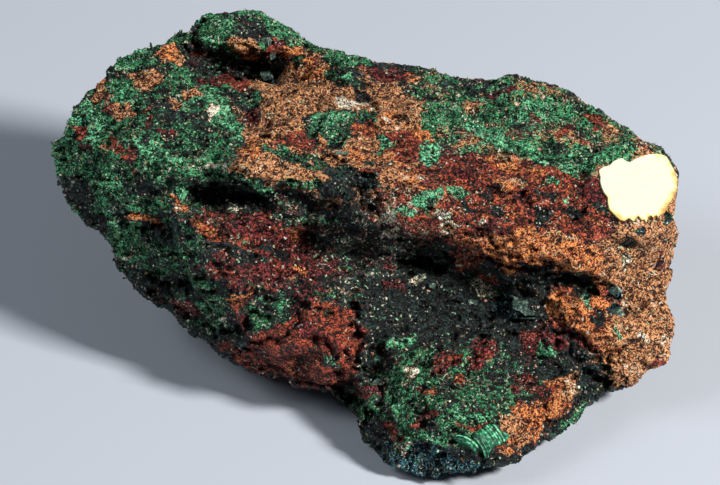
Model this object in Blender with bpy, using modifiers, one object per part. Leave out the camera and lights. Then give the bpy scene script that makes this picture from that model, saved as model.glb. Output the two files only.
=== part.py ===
"""A hand specimen of cuprite ore with malachite and limonite, and the painted label patch on it.

The rock is one natural piece. It is shaped in the plane of its showing side, where its outline is drawn, and
then tipped back onto its flat underside. In that plane x runs right and y runs up, and the third number is
depth: it grows towards the side that shows. These three are in millimetres, and the finished objects are in
metres, +Z up, with the origin on the underside, below the middle of the specimen's box.
"""

import math

import bmesh
import bpy
import numpy as np
from mathutils import Matrix, Vector, noise

MM = 0.001
TIP_BACK = math.radians(38.0)
UNDERSIDE_MM = -30.0
ROCK_TRIANGLES = 9300
SPHERE_SUBDIVISIONS = 7
SHOWING_FULLNESS = 0.7
HIDDEN_FULLNESS = 0.45
RIM_SPREAD = 0.92
ORE_COLOUR = (0.16, 0.10, 0.06)
ORE_ROUGHNESS = 0.75

LABEL_CENTRE = (54.6, 10.2)
LABEL_LIE = (3.6, -0.52, -0.64)
LABEL_FACET_RADIUS = 9.4
LABEL_FACET_BLEND = 2.5
LABEL_GAP_MM = 0.4
LABEL_THICKNESS_MM = 0.5
LABEL_COLOUR = (0.90, 0.87, 0.70)
LABEL_ROUGHNESS = 0.6

# The showing side's outline, clockwise from the tip of the left end.
OUTLINE = [
    (-63.2, 19.6), (-60.4, 22.0), (-58.8, 26.6), (-57.0, 28.4), (-53.2, 32.6), (-50.4, 36.0),
    (-47.8, 38.2), (-43.0, 40.0), (-40.8, 39.3), (-38.6, 41.8), (-37.0, 42.2), (-35.9, 41.8),
    (-33.4, 44.5), (-32.6, 45.9), (-31.0, 46.3), (-24.6, 46.8), (-21.6, 46.8), (-19.4, 45.2),
    (-15.0, 42.0), (-10.4, 39.2), (-5.4, 38.4), (-3.8, 37.2), (0.2, 36.6), (2.2, 35.6),
    (10.2, 34.6), (15.2, 33.8), (18.8, 32.2), (26.0, 32.2), (30.6, 33.2), (37.4, 31.1),
    (43.4, 28.4), (49.6, 24.0), (53.2, 22.2), (55.2, 19.5), (58.8, 18.8), (61.8, 15.4),
    (62.8, 12.4), (62.4, 8.8), (61.4, 5.2), (63.0, 0.0), (62.0, -2.2), (61.6, -6.6),
    (59.8, -10.0), (60.2, -13.2), (62.2, -17.4), (61.4, -23.4), (59.2, -25.6), (55.6, -26.8),
    (52.0, -29.8), (48.0, -30.0), (45.0, -32.9), (43.4, -33.2), (42.0, -36.0), (39.2, -38.6),
    (35.0, -40.6), (31.8, -43.1), (29.0, -44.4), (22.6, -45.2), (20.4, -46.2), (15.8, -46.0),
    (11.6, -47.2), (8.4, -45.7), (4.2, -45.1), (2.0, -42.8), (-0.9, -38.0), (-1.2, -35.2),
    (-2.6, -33.2), (-6.8, -30.2), (-9.4, -30.4), (-14.4, -29.3), (-15.8, -27.3), (-22.0, -26.5),
    (-27.2, -24.4), (-31.6, -20.1), (-39.8, -13.8), (-43.6, -11.4), (-47.6, -7.4), (-51.6, -0.4),
    (-54.0, 2.1), (-58.6, 5.4), (-61.0, 9.2), (-62.7, 16.0),
]

# Depths of the side that shows: the sloping top, the ridge in front of it, the recess and the tongue below.
SHOWING_DEPTHS = [
    # far edge of the top
    (-62.0, 18.0, -8.0), (-55.0, 31.0, -13.0), (-43.0, 40.0, -20.0), (-26.0, 46.8, -25.0),
    (-5.0, 38.4, -20.0), (19.0, 32.5, -17.0), (38.0, 31.0, -13.0), (49.0, 24.0, -7.0), (55.0, 19.5, -3.6),
    # the top
    (-43.0, 28.0, -4.0), (-25.0, 27.0, -8.0), (-5.0, 26.0, -3.0), (17.0, 24.0, -1.0), (35.0, 22.0, -1.0),
    # the ridge
    (-51.0, 14.0, 3.0), (-35.0, 13.0, 9.0), (-20.0, 12.0, 12.0), (-3.0, 8.0, 13.5), (13.0, 5.0, 16.0),
    (31.0, 2.0, 17.0), (46.0, 0.0, 13.0), (57.0, 1.0, 5.0),
    # the right end
    (54.6, 10.2, 3.6), (62.8, 12.0, -1.8), (63.0, 0.0, -3.0), (60.0, -10.0, -3.0), (62.0, -18.0, -2.0),
    (52.0, -29.8, 0.0), (56.0, -19.0, 5.0), (47.0, -24.0, 8.0),
    # the recess
    (-13.0, 0.0, 6.0), (7.0, -8.0, 5.0), (22.0, -14.0, 2.0), (36.0, -14.0, 6.0), (15.0, -22.0, 7.0),
    # the red lump
    (-13.0, -20.0, 10.0), (-7.0, -26.0, 8.0), (-4.0, -31.5, 3.0), (-23.0, -21.0, 6.0), (-21.0, -26.6, 0.0),
    # the tongue
    (7.0, -32.0, 16.0), (19.0, -32.0, 19.0), (31.0, -36.0, 16.0), (13.0, -40.0, 21.5), (25.0, -40.0, 20.0),
    (39.0, -38.6, 8.0), (11.6, -47.2, 15.0), (2.0, -42.8, 12.0), (-1.2, -35.2, 6.0), (47.0, -30.5, 3.0),
    # the left flank
    (-43.0, 2.0, 4.0), (-51.0, -1.0, -6.0), (-33.0, -12.0, 5.0), (-43.0, -12.0, -5.0), (-31.6, -20.1, -2.0),
]

# Depths of the hidden side: the back, then what the underside cuts off.
HIDDEN_DEPTHS = [
    (-40.0, 26.0, -40.0), (-24.0, 36.0, -42.0), (0.0, 28.0, -47.0), (28.0, 24.0, -44.0), (48.0, 12.0, -38.0),
    (-50.0, 12.0, -42.0), (-32.0, 12.0, -56.0), (0.0, 12.0, -60.0), (34.0, 10.0, -54.0), (54.0, -4.0, -38.0),
    (-44.0, -2.0, -44.0), (-30.0, -8.0, -46.0), (0.0, -10.0, -52.0), (36.0, -10.0, -48.0),
    (50.0, -20.0, -28.0), (0.0, -26.0, -34.0), (30.0, -30.0, -28.0), (12.0, -40.0, -8.0),
]

# Lumps stand proud and pits sink in: centre x, y, half-length, half-width, turn in degrees, height or depth.
HILL_FLATNESS = 1.5
LUMPS = [
    (-26.0, 42.0, 11.0, 5.5, -4.0, 4.0),
    (-42.0, 36.0, 6.0, 4.0, 20.0, 1.8),
    (-18.0, 21.0, 6.5, 4.5, -15.0, 2.2),
    (-4.0, 24.5, 6.0, 3.2, 8.0, 2.6),
    (-15.0, 14.0, 11.0, 3.0, -5.0, 2.4),
    (35.0, 25.0, 15.0, 7.0, -12.0, 2.6),
    (14.0, 26.0, 7.0, 5.0, 0.0, 1.5),
    (38.0, -1.0, 14.0, 4.5, -12.0, 3.0),
    (58.0, 0.0, 4.0, 5.0, 0.0, 2.5),
    (56.0, -20.0, 7.0, 6.0, 30.0, 3.2),
    (51.0, -27.0, 4.0, 3.6, 0.0, 2.6),
    (42.5, -13.0, 5.0, 2.6, -20.0, 2.6),
    (-14.0, -23.0, 11.0, 6.0, -15.0, 3.2),
    (-4.0, -17.0, 6.0, 6.5, 0.0, 2.4),
    (-25.0, -19.0, 5.0, 4.0, -25.0, 1.8),
    (-33.0, -3.0, 8.0, 5.0, -30.0, 2.0),
    (-51.0, 22.0, 6.0, 8.0, 0.0, 1.8),
    (20.0, -31.0, 13.0, 4.0, -14.0, 1.6),
    (25.5, -39.5, 4.5, 3.0, -10.0, 1.8),
    (1.5, -31.0, 3.0, 1.8, -15.0, 2.2),
    (40.0, -30.0, 8.0, 2.6, 45.0, 2.2),
]
PITS = [
    (-22.5, 34.0, 12.0, 3.6, -6.0, 10.0),
    (-35.0, 37.5, 2.6, 5.0, 25.0, 4.0),
    (-27.5, 7.5, 8.0, 3.0, -8.0, 7.0),
    (-41.6, 2.4, 3.2, 1.6, 0.0, 2.6),
    (-39.5, -9.4, 5.5, 2.2, 30.0, 3.2),
    (-6.0, -1.0, 13.0, 4.5, -14.0, 3.6),
    (12.6, -4.4, 6.5, 2.4, -8.0, 4.6),
    (26.0, -10.0, 9.0, 4.0, -20.0, 4.0),
    (42.0, -8.6, 9.0, 1.8, -8.0, 3.6),
    (46.6, -15.8, 2.4, 1.4, 0.0, 2.4),
    (33.0, -22.0, 7.0, 3.0, -30.0, 3.4),
    (1.8, -24.4, 2.4, 4.4, -10.0, 6.0),
    (-2.0, -31.0, 3.0, 2.2, 30.0, 4.5),
    (46.4, -28.2, 4.6, 2.4, 0.0, 5.5),
    (16.0, -44.5, 9.0, 2.6, 0.0, 3.0),
    (-14.0, 8.0, 9.0, 2.2, -10.0, 3.0),
    (-56.5, 5.5, 5.0, 3.0, -35.0, 2.0),
]

# Flat faces: centre x, y, half-length, half-width, turn in degrees, stand-out height, slopes along x and y.
FACES = [
    (-57.0, 7.6, 5.4, 3.0, -42.0, 0.6, 0.55, 0.85),
    (-7.4, -18.2, 6.0, 3.8, -24.0, 1.2, -0.20, -0.30),
    (-13.8, -25.4, 3.6, 2.6, -10.0, 1.0, 0.05, 0.45),
    (31.8, -13.6, 2.6, 2.3, -12.0, 1.8, 0.15, -0.25),
    (0.6, -29.4, 3.0, 2.0, -14.0, 1.0, 0.10, -0.10),
    (-18.6, 25.6, 2.6, 2.8, 10.0, 0.9, -0.15, 0.20),
    (11.0, 30.2, 3.6, 2.4, 0.0, 0.8, 0.10, -0.25),
    (4.4, 12.0, 2.8, 2.0, 12.0, 0.9, -0.10, -0.30),
    (53.0, -24.0, 5.0, 3.4, 28.0, 0.8, -0.10, 0.20),
]
FACE_EDGE_SHARPNESS = 3.5

# Fractures of the hidden side: azimuth and elevation of the flat left, and its distance from the middle.
FRACTURES = [
    (180.0, 18.0, 52.0), (152.0, 4.0, 54.0), (208.0, 8.0, 54.5), (128.0, -6.0, 55.0),
    (236.0, -14.0, 50.0), (98.0, -16.0, 57.0), (262.0, -24.0, 49.0), (172.0, -28.0, 50.0),
    (318.0, -34.0, 32.0), (200.0, 44.0, 55.0), (288.0, -40.0, 42.0),
]
FRACTURE_LEFTOVER = 0.12
FRACTURE_ONSET = 5.0

# Along a ledge the rock above the line overhangs the rock below it: height, reach, points from left to right.
LEDGES = [
    (3.4, 6.0, [(-40.0, 11.0), (-31.0, 12.5), (-24.0, 11.5), (-18.5, 7.0)]),
    (2.0, 4.0, [(-26.0, 13.0), (-16.0, 11.0), (-4.0, 13.0), (6.0, 12.0)]),
    (4.2, 7.0, [(-4.0, 5.4), (2.0, 1.2), (20.0, -0.4), (25.0, -4.4), (40.0, -6.8), (50.0, -10.0)]),
    (2.2, 4.0, [(36.0, -16.0), (44.0, -19.0), (52.0, -22.0)]),
    (2.4, 5.0, [(4.0, -27.0), (14.0, -24.0), (30.0, -27.0), (40.0, -24.0)]),
    (1.8, 4.0, [(-34.0, -14.0), (-22.0, -10.0), (-12.0, -13.0)]),
]
LEDGE_SHARPNESS_MM = 0.9

# Rough fracture: the size of the grain and how far it stands out. The outline's edge keeps part of it.
CHUNK_MM = 13.0
CHUNK_HEIGHT_MM = 1.7
CHUNK_MIDDLE = 0.25
ROUGH_MM = 5.5
ROUGH_HEIGHT_MM = 1.0
ROUGH_FALLOFF = 1.0
ROUGH_STEP = 2.1
ROUGH_LAYERS = 3
EDGE_SHARE = 0.35
EDGE_ONSET = 1.6
CALM_ONSET = 4.0

# The label patch's outline, anticlockwise from its right: a blob of paint with a ragged lower edge.
LABEL_OUTLINE = [
    (62.2, 11.6), (61.4, 14.8), (59.8, 17.0), (58.4, 17.2), (55.8, 16.7), (52.6, 15.9), (51.2, 16.3),
    (49.8, 15.9), (46.6, 14.6), (46.3, 13.2), (47.0, 10.4), (48.2, 7.6), (48.6, 6.2), (50.2, 4.6),
    (51.6, 3.5), (53.4, 3.3), (55.3, 2.9), (56.2, 3.1), (57.6, 4.6), (59.0, 4.1), (60.2, 5.2), (61.2, 7.6),
    (61.9, 9.4),
]
LABEL_RINGS = 8
LABEL_SPOKES = 64
LABEL_CLEARANCE_STEPS = 8
LABEL_CLEARANCE_MM = 0.5
CAST_HEIGHT_MM = 40.0
TINY = 1e-9


def clear_scene():
    for obj in list(bpy.data.objects):
        bpy.data.objects.remove(obj, do_unlink=True)


def make_material(name, colour, roughness):
    material = bpy.data.materials.new(name)
    material.use_nodes = True
    shader = material.node_tree.nodes["Principled BSDF"]
    shader.inputs["Base Color"].default_value = (*colour, 1.0)
    shader.inputs["Roughness"].default_value = roughness
    shader.inputs["Metallic"].default_value = 0.0
    return material


def smooth_surface(points):
    """The thin-plate surface through (x, y, depth) points, as a function of an array of x and one of y."""
    known = np.array(points)

    def bend(dx, dy):
        squared = dx * dx + dy * dy
        return squared * np.log(squared + TINY)

    count = len(known)
    x, y = known[:, 0], known[:, 1]
    system = np.zeros((count + 3, count + 3))
    system[:count, :count] = bend(x[:, None] - x, y[:, None] - y)
    plane = np.stack([np.ones(count), x, y], axis=1)
    system[:count, count:] = plane
    system[count:, :count] = plane.T
    weights = np.linalg.solve(system, np.concatenate([known[:, 2], np.zeros(3)]))

    def depth(px, py):
        spread = bend(px[:, None] - x, py[:, None] - y) @ weights[:count]
        return spread + weights[count] + weights[count + 1] * px + weights[count + 2] * py

    return depth


def outline_radius(outline, centre, angles):
    """How far an outline lies from a centre in each direction."""
    points = np.array(outline) - centre
    bearing = np.arctan2(points[:, 1], points[:, 0])
    order = np.argsort(bearing)
    radius = np.hypot(points[:, 0], points[:, 1])[order]
    return np.interp(angles, bearing[order], radius, period=2 * math.pi)


def bump(x, y, feature):
    """A smooth hill of the feature's height over an ellipse of its size and turn."""
    cx, cy, half_length, half_width, turn, height = feature
    c, s = math.cos(math.radians(turn)), math.sin(math.radians(turn))
    along = ((x - cx) * c + (y - cy) * s) / half_length
    across = ((y - cy) * c - (x - cx) * s) / half_width
    return height * np.exp(-((along**2 + across**2) ** HILL_FLATNESS))


def ledge(x, y, height, reach, line):
    """Rock above the line stands proud, and rock below it is cut back. Both die out at the reach."""
    nearest = np.full(len(x), np.inf)
    side = np.zeros(len(x))
    for (ax, ay), (bx, by) in zip(line, line[1:]):
        dx, dy = bx - ax, by - ay
        share = np.clip(((x - ax) * dx + (y - ay) * dy) / (dx * dx + dy * dy), 0.0, 1.0)
        ox, oy = x - (ax + share * dx), y - (ay + share * dy)
        distance = np.hypot(ox, oy)
        closer = distance < nearest
        nearest = np.where(closer, distance, nearest)
        side = np.where(closer, np.sign(dx * oy - dy * ox), side)
    step = np.tanh(side * nearest / LEDGE_SHARPNESS_MM)
    return 0.5 * height * step * np.exp(-((nearest / reach) ** 2))


def relief(x, y):
    """Everything that stands out of the showing side's smooth surface or sinks into it."""
    total = np.zeros(len(x))
    for feature in LUMPS:
        total += bump(x, y, feature)
    for feature in PITS:
        total -= bump(x, y, feature)
    for height, reach, line in LEDGES:
        total += ledge(x, y, height, reach, line)
    return total


def flat_faces(x, y, depth, surface):
    """Lays each flat face over the surface there, with a crisp edge."""
    for cx, cy, half_length, half_width, turn, stand, slope_x, slope_y in FACES:
        c, s = math.cos(math.radians(turn)), math.sin(math.radians(turn))
        along = np.abs((x - cx) * c + (y - cy) * s) / half_length
        across = np.abs((y - cy) * c - (x - cx) * s) / half_width
        share = np.clip((1.0 - np.maximum(along, across)) * FACE_EDGE_SHARPNESS, 0.0, 1.0)
        middle = surface(np.array([cx]), np.array([cy]))[0] + stand
        plane = middle + slope_x * (x - cx) + slope_y * (y - cy)
        depth = depth * (1 - share) + plane * share
    return depth


def label_share(x, y):
    """1 on the smooth facet under the label patch, falling to 0 just outside it."""
    distance = np.hypot(x - LABEL_CENTRE[0], y - LABEL_CENTRE[1])
    return np.clip(1.0 - (distance - LABEL_FACET_RADIUS) / LABEL_FACET_BLEND, 0.0, 1.0)


def label_plane(x, y):
    depth, slope_x, slope_y = LABEL_LIE
    return depth + slope_x * (x - LABEL_CENTRE[0]) + slope_y * (y - LABEL_CENTRE[1])


def shape_sphere(sphere):
    """Moves points of a unit sphere, whose third axis faces the showing side, to the rock's form."""
    angle = np.arctan2(sphere[:, 1], sphere[:, 0])
    out = np.minimum(np.hypot(sphere[:, 0], sphere[:, 1]), 1.0)
    rise = np.abs(sphere[:, 2])
    radius = outline_radius(OUTLINE, (0.0, 0.0), angle)
    rim_x, rim_y = radius * np.cos(angle), radius * np.sin(angle)
    spread = out**RIM_SPREAD
    x, y = rim_x * spread, rim_y * spread

    showing, hidden = smooth_surface(SHOWING_DEPTHS), smooth_surface(HIDDEN_DEPTHS)
    front = flat_faces(x, y, showing(x, y) + relief(x, y), showing)
    shows = sphere[:, 2] >= 0
    share = np.where(shows, rise**SHOWING_FULLNESS, rise**HIDDEN_FULLNESS)
    depth = showing(rim_x, rim_y) * (1 - share) + np.where(shows, front, hidden(x, y)) * share
    patch = label_share(x, y) * shows
    depth = depth * (1 - patch) + label_plane(x, y) * patch
    return np.stack([x, y, depth], axis=1)


def fracture(points, rise):
    """Flattens what stands beyond each fracture on the hidden side, where rise is below zero."""
    upright = np.array(tip_back().to_3x3())
    hidden = np.clip(-rise * FRACTURE_ONSET, 0.0, 1.0)
    for azimuth, elevation, distance in FRACTURES:
        a, e = math.radians(azimuth), math.radians(elevation)
        away = np.array([math.sin(a) * math.cos(e), -math.cos(a) * math.cos(e), math.sin(e)]) @ upright
        beyond = np.maximum(points @ away - distance, 0.0) * hidden * (1 - FRACTURE_LEFTOVER)
        points = points - beyond[:, None] * away
    return points


def roughen(points, normals, rise):
    """Pushes each point along its normal by chunky fracture and roughness, less at the outline's edge."""
    rough = points.copy()
    calm = label_share(points[:, 0], points[:, 1]) * np.clip(1.0 + rise * CALM_ONSET, 0.0, 1.0)
    kept = EDGE_SHARE + (1 - EDGE_SHARE) * np.minimum(np.abs(rise) * EDGE_ONSET, 1.0)
    for i, (point, normal) in enumerate(zip(points, normals)):
        near, nearer = noise.voronoi(Vector(point) / CHUNK_MM)[0][:2]
        chunk = min(nearer - near, 2 * CHUNK_MIDDLE) - CHUNK_MIDDLE
        grain = noise.fractal(Vector(point) / ROUGH_MM, ROUGH_FALLOFF, ROUGH_STEP, ROUGH_LAYERS)
        push = chunk * 2 * CHUNK_HEIGHT_MM + grain * ROUGH_HEIGHT_MM
        rough[i] += normal * push * kept[i] * (1 - calm[i])
    return rough


def tip_back():
    """Turns the drawing plane to the finished axes: its y leans back and its depth faces front and up."""
    return Matrix.Rotation(math.pi / 2 - TIP_BACK, 4, "X")


def new_object(name, mesh, material, collection):
    obj = bpy.data.objects.new(name, mesh)
    mesh.materials.append(material)
    collection.objects.link(obj)
    return obj


def apply_modifiers(obj):
    graph = bpy.context.evaluated_depsgraph_get()
    mesh = bpy.data.meshes.new_from_object(obj.evaluated_get(graph))
    obj.modifiers.clear()
    obj.data = mesh


def make_rock(material, collection):
    """One closed solid: a sphere drawn out to the rock's form, thinned to plain facets and cut flat below."""
    form = bmesh.new()
    bmesh.ops.create_icosphere(form, subdivisions=SPHERE_SUBDIVISIONS, radius=1.0)
    sphere = np.array([vertex.co for vertex in form.verts])
    shaped = fracture(shape_sphere(sphere), sphere[:, 2])
    for vertex, place in zip(form.verts, shaped):
        vertex.co = place
    form.normal_update()
    normals = np.array([vertex.normal for vertex in form.verts])
    for vertex, place in zip(form.verts, roughen(shaped, normals, sphere[:, 2])):
        vertex.co = place
    mesh = bpy.data.meshes.new("rock")
    form.to_mesh(mesh)
    form.free()
    mesh.transform(tip_back())

    rock = new_object("rock", mesh, material, collection)
    thin = rock.modifiers.new("plain facets", "DECIMATE")
    thin.ratio = ROCK_TRIANGLES / len(mesh.polygons)
    apply_modifiers(rock)
    cut_underside(rock.data)
    return rock


def cut_underside(mesh):
    """Cuts the rock off flat at the level it rests on and closes the cut."""
    form = bmesh.new()
    form.from_mesh(mesh)
    everything = form.verts[:] + form.edges[:] + form.faces[:]
    cut = bmesh.ops.bisect_plane(
        form, geom=everything, plane_co=(0, 0, UNDERSIDE_MM), plane_no=(0, 0, -1), clear_outer=True
    )
    edges = [item for item in cut["geom_cut"] if isinstance(item, bmesh.types.BMEdge)]
    bmesh.ops.holes_fill(form, edges=edges, sides=0)
    bmesh.ops.triangulate(form, faces=[face for face in form.faces if len(face.verts) > 3])
    form.to_mesh(mesh)
    form.free()


def height_over(rock, place, towards, reach):
    """The highest point of the rock under a place or round it, measured from far above."""
    ring = [Vector((0, 0, 0))]
    for step in range(LABEL_CLEARANCE_STEPS):
        turn = 2 * math.pi * step / LABEL_CLEARANCE_STEPS
        ring.append(Vector((math.cos(turn), math.sin(turn), 0)) * reach)
    heights = []
    for offset in ring:
        start = tip_back() @ (place + offset + Vector((0, 0, CAST_HEIGHT_MM)))
        found, hit, _, _ = rock.ray_cast(start, towards)
        if found:
            heights.append(CAST_HEIGHT_MM - (hit - start).length)
    return max(heights)


def make_label(rock, material, collection):
    """A thin coat that follows the rock: a flat blob laid on the facet, then given its thickness."""
    turns = np.linspace(0.0, 2 * math.pi, LABEL_SPOKES, endpoint=False)
    reach = outline_radius(LABEL_OUTLINE, LABEL_CENTRE, turns)
    form = bmesh.new()
    centre = form.verts.new((*LABEL_CENTRE, 0.0))
    rings = []
    for ring in range(1, LABEL_RINGS + 1):
        far = reach * ring / LABEL_RINGS
        across, up = LABEL_CENTRE[0] + far * np.cos(turns), LABEL_CENTRE[1] + far * np.sin(turns)
        rings.append([form.verts.new((x, y, 0.0)) for x, y in zip(across, up)])
    for spoke in range(LABEL_SPOKES):
        beside = (spoke + 1) % LABEL_SPOKES
        form.faces.new((centre, rings[0][spoke], rings[0][beside]))
        for inner, outer in zip(rings, rings[1:]):
            form.faces.new((inner[spoke], outer[spoke], outer[beside], inner[beside]))
    towards = tip_back().to_3x3() @ Vector((0, 0, -1))
    for vertex in form.verts:
        vertex.co.z = height_over(rock, vertex.co, towards, LABEL_CLEARANCE_MM) + LABEL_GAP_MM
    mesh = bpy.data.meshes.new("label_patch")
    form.to_mesh(mesh)
    form.free()
    mesh.transform(tip_back())
    label = new_object("label_patch", mesh, material, collection)
    coat = label.modifiers.new("coat", "SOLIDIFY")
    coat.thickness = LABEL_THICKNESS_MM
    coat.offset = 1.0
    apply_modifiers(label)
    return label


def stand_on_origin(objects):
    """Puts the underside at z = 0 below the middle of the pieces' box, and scales them to metres."""
    points = np.array([vertex.co for obj in objects for vertex in obj.data.vertices])
    low, high = points.min(axis=0), points.max(axis=0)
    middle = Vector(((low[0] + high[0]) / 2, (low[1] + high[1]) / 2, low[2]))
    for obj in objects:
        obj.data.transform(Matrix.Scale(MM, 4) @ Matrix.Translation(-middle))


def main():
    clear_scene()
    collection = bpy.data.collections.new("cuprite specimen")
    bpy.context.scene.collection.children.link(collection)
    ore = make_material("ore", ORE_COLOUR, ORE_ROUGHNESS)
    paint = make_material("label paint", LABEL_COLOUR, LABEL_ROUGHNESS)
    rock = make_rock(ore, collection)
    bpy.context.view_layer.update()
    label = make_label(rock, paint, collection)
    stand_on_origin([rock, label])


main()
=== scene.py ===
# %% [markdown]
# # A cuprite specimen
# The object is one lump of copper ore as long as a hand. Its top is a crust of green malachite round a plateau of
# brown limonite, its front is a dark, hollow band, and a catalogue patch of cream paint lies on one end.
# The CAD model holds the lump's form. This script gives it the fracture, grains, needles and colours that its
# faceted form can't carry, one step at a time.

# %% Load the frame
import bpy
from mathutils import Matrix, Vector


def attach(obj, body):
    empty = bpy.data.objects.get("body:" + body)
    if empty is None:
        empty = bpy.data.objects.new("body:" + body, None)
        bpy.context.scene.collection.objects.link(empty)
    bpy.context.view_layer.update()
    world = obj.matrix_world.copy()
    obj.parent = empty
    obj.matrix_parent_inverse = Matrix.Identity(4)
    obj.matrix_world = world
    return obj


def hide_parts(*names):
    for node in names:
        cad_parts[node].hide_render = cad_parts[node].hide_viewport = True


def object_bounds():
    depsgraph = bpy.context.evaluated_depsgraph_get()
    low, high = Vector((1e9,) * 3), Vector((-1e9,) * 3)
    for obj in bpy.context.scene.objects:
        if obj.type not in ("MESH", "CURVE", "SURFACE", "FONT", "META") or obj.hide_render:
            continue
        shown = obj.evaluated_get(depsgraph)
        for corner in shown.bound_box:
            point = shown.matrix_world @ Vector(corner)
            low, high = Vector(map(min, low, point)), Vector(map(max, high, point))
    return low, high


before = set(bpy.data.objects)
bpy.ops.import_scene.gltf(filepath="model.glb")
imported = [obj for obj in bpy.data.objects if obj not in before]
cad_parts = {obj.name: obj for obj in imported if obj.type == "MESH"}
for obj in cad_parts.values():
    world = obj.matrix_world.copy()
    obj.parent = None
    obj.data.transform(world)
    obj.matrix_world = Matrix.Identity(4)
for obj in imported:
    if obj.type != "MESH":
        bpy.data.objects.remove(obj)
cad_box = [[round(value, 6) for value in corner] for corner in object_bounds()]
print("the CAD box is", cad_box)

# %% [markdown]
# ## Helpers
# Every operator works on what is selected, so each step first selects one object alone. Values are in millimetres
# on the showing side's own plane: x to the right, y up, and depth towards the eye. That plane leans back on the
# specimen by the angle at which it is seen, so one matrix turns such a place into one of the frame's, in metres.

# %% Helpers
import math
import random

import bpy
import numpy as np
from mathutils import Matrix, Vector, noise
from mathutils.bvhtree import BVHTree

MM = 0.001
LEAN_BACK = math.radians(38.0)
PLANE_MIDDLE = (0.00005, -0.00594, 0.030)
PLANE = Matrix.Translation(PLANE_MIDDLE) @ Matrix.Rotation(math.pi / 2 - LEAN_BACK, 4, "X") @ Matrix.Scale(MM, 4)
TOWARDS_EYE = (PLANE.to_3x3() @ Vector((0, 0, 1))).normalized()
# Without a seed of its own, the noise that makes rims wander takes one from the clock and differs in each run.
WANDER_SEED = 7
noise.seed_set(WANDER_SEED)


def only(obj):
    """Selects one object and makes it the active one."""
    bpy.ops.object.select_all(action="DESELECT")
    obj.select_set(True)
    bpy.context.view_layer.objects.active = obj
    return obj


def named(name):
    """Names the object that an operator has just added."""
    obj = bpy.context.active_object
    obj.name = name
    obj.data.name = name
    return obj


def finish_modifiers(obj):
    """Applies every modifier in turn."""
    only(obj)
    for modifier in list(obj.modifiers):
        bpy.ops.object.modifier_apply(modifier=modifier.name)
    return obj


def voxel_remesh(obj, voxel_mm):
    """Adds a modifier that rebuilds a closed form as one even mesh."""
    remesh = obj.modifiers.new("even mesh", "REMESH")
    remesh.mode = "VOXEL"
    remesh.voxel_size = voxel_mm * MM


def thicken(obj, thickness_mm, offset):
    """Adds a modifier that gives a sheet its thickness, in front of it for an offset of 1 and behind it for -1."""
    wall = obj.modifiers.new("thickness", "SOLIDIFY")
    wall.thickness = thickness_mm * MM
    wall.offset = offset


def triangles(obj):
    """How many triangles a mesh makes."""
    return sum(len(face.vertices) - 2 for face in obj.data.polygons)


def places(mesh):
    """A mesh's points as an array, in the frame, in metres."""
    flat = np.empty(len(mesh.vertices) * 3)
    mesh.vertices.foreach_get("co", flat)
    return flat.reshape(-1, 3)


def normals_of(mesh):
    """The directions in which a mesh's points face, as an array."""
    flat = np.empty(len(mesh.vertices) * 3)
    mesh.vertices.foreach_get("normal", flat)
    return flat.reshape(-1, 3)


def on_plane(points):
    """Frame positions turned into millimetres on the showing side's plane."""
    back = np.array(PLANE.inverted())
    return points @ back[:3, :3].T + back[:3, 3]


def set_places(mesh, points):
    """Moves a mesh's points."""
    mesh.vertices.foreach_set("co", points.astype(np.float32).ravel())
    mesh.update()


def keep_inside(obj):
    """Moves the points that stand outside the CAD box back onto its sides."""
    set_places(obj.data, np.clip(places(obj.data), *np.array(cad_box)))
    return obj


def colour(red, green, blue):
    """A colour picked on a screen, as the linear values that a shader takes."""
    parts = [value / 255 for value in (red, green, blue)]
    return [v / 12.92 if v <= 0.04045 else ((v + 0.055) / 1.055) ** 2.4 for v in parts] + [1.0]


print("the plane faces", [round(v, 3) for v in TOWARDS_EYE])

# %% [markdown]
# ## The rock's skin
# A broken rock has no smooth face: it has chunks, and grains on the chunks. It could be sculpted by hand, but a
# sculpt can't be written down. So the CAD rock is copied, its loose triangles are merged, and a voxel remesh turns
# them into an even skin that is fine enough to be pushed about. A light smoothing hides the CAD facets' edges, and
# a small push outwards makes up for what the smoothing shrinks.

# %% The rock's skin
SKIN_VOXEL_MM = 0.42
SKIN_SWELL_MM = 0.35
bpy.ops.object.select_all(action="DESELECT")
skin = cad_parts["rock"].copy()
skin.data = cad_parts["rock"].data.copy()
skin.data.materials.clear()
skin.parent = None
skin.name = "ore_skin"
bpy.context.scene.collection.objects.link(skin)
only(skin)
bpy.ops.object.mode_set(mode="EDIT")
bpy.ops.mesh.select_all(action="SELECT")
bpy.ops.mesh.remove_doubles(threshold=0.000001)
bpy.ops.object.mode_set(mode="OBJECT")
voxel_remesh(skin, SKIN_VOXEL_MM)
soften = skin.modifiers.new("soften facets", "SMOOTH")
soften.factor = 0.5
soften.iterations = 8
swell = skin.modifiers.new("make up the shrinkage", "DISPLACE")
swell.strength = SKIN_SWELL_MM * MM
swell.mid_level = 0.0
finish_modifiers(skin)
print("the skin has", triangles(skin), "triangles")

# %% [markdown]
# ## Where each mineral lies
# The look is set by which mineral crops out where. Each mixture below is a recipe: how much of each mineral's grains
# it holds, from 0 to 1. The patches are then painted in order, as with a soft brush, from wide ones to small ones.
# The recipe's eight shares are kept in two colour attributes, which the material reads.

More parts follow.
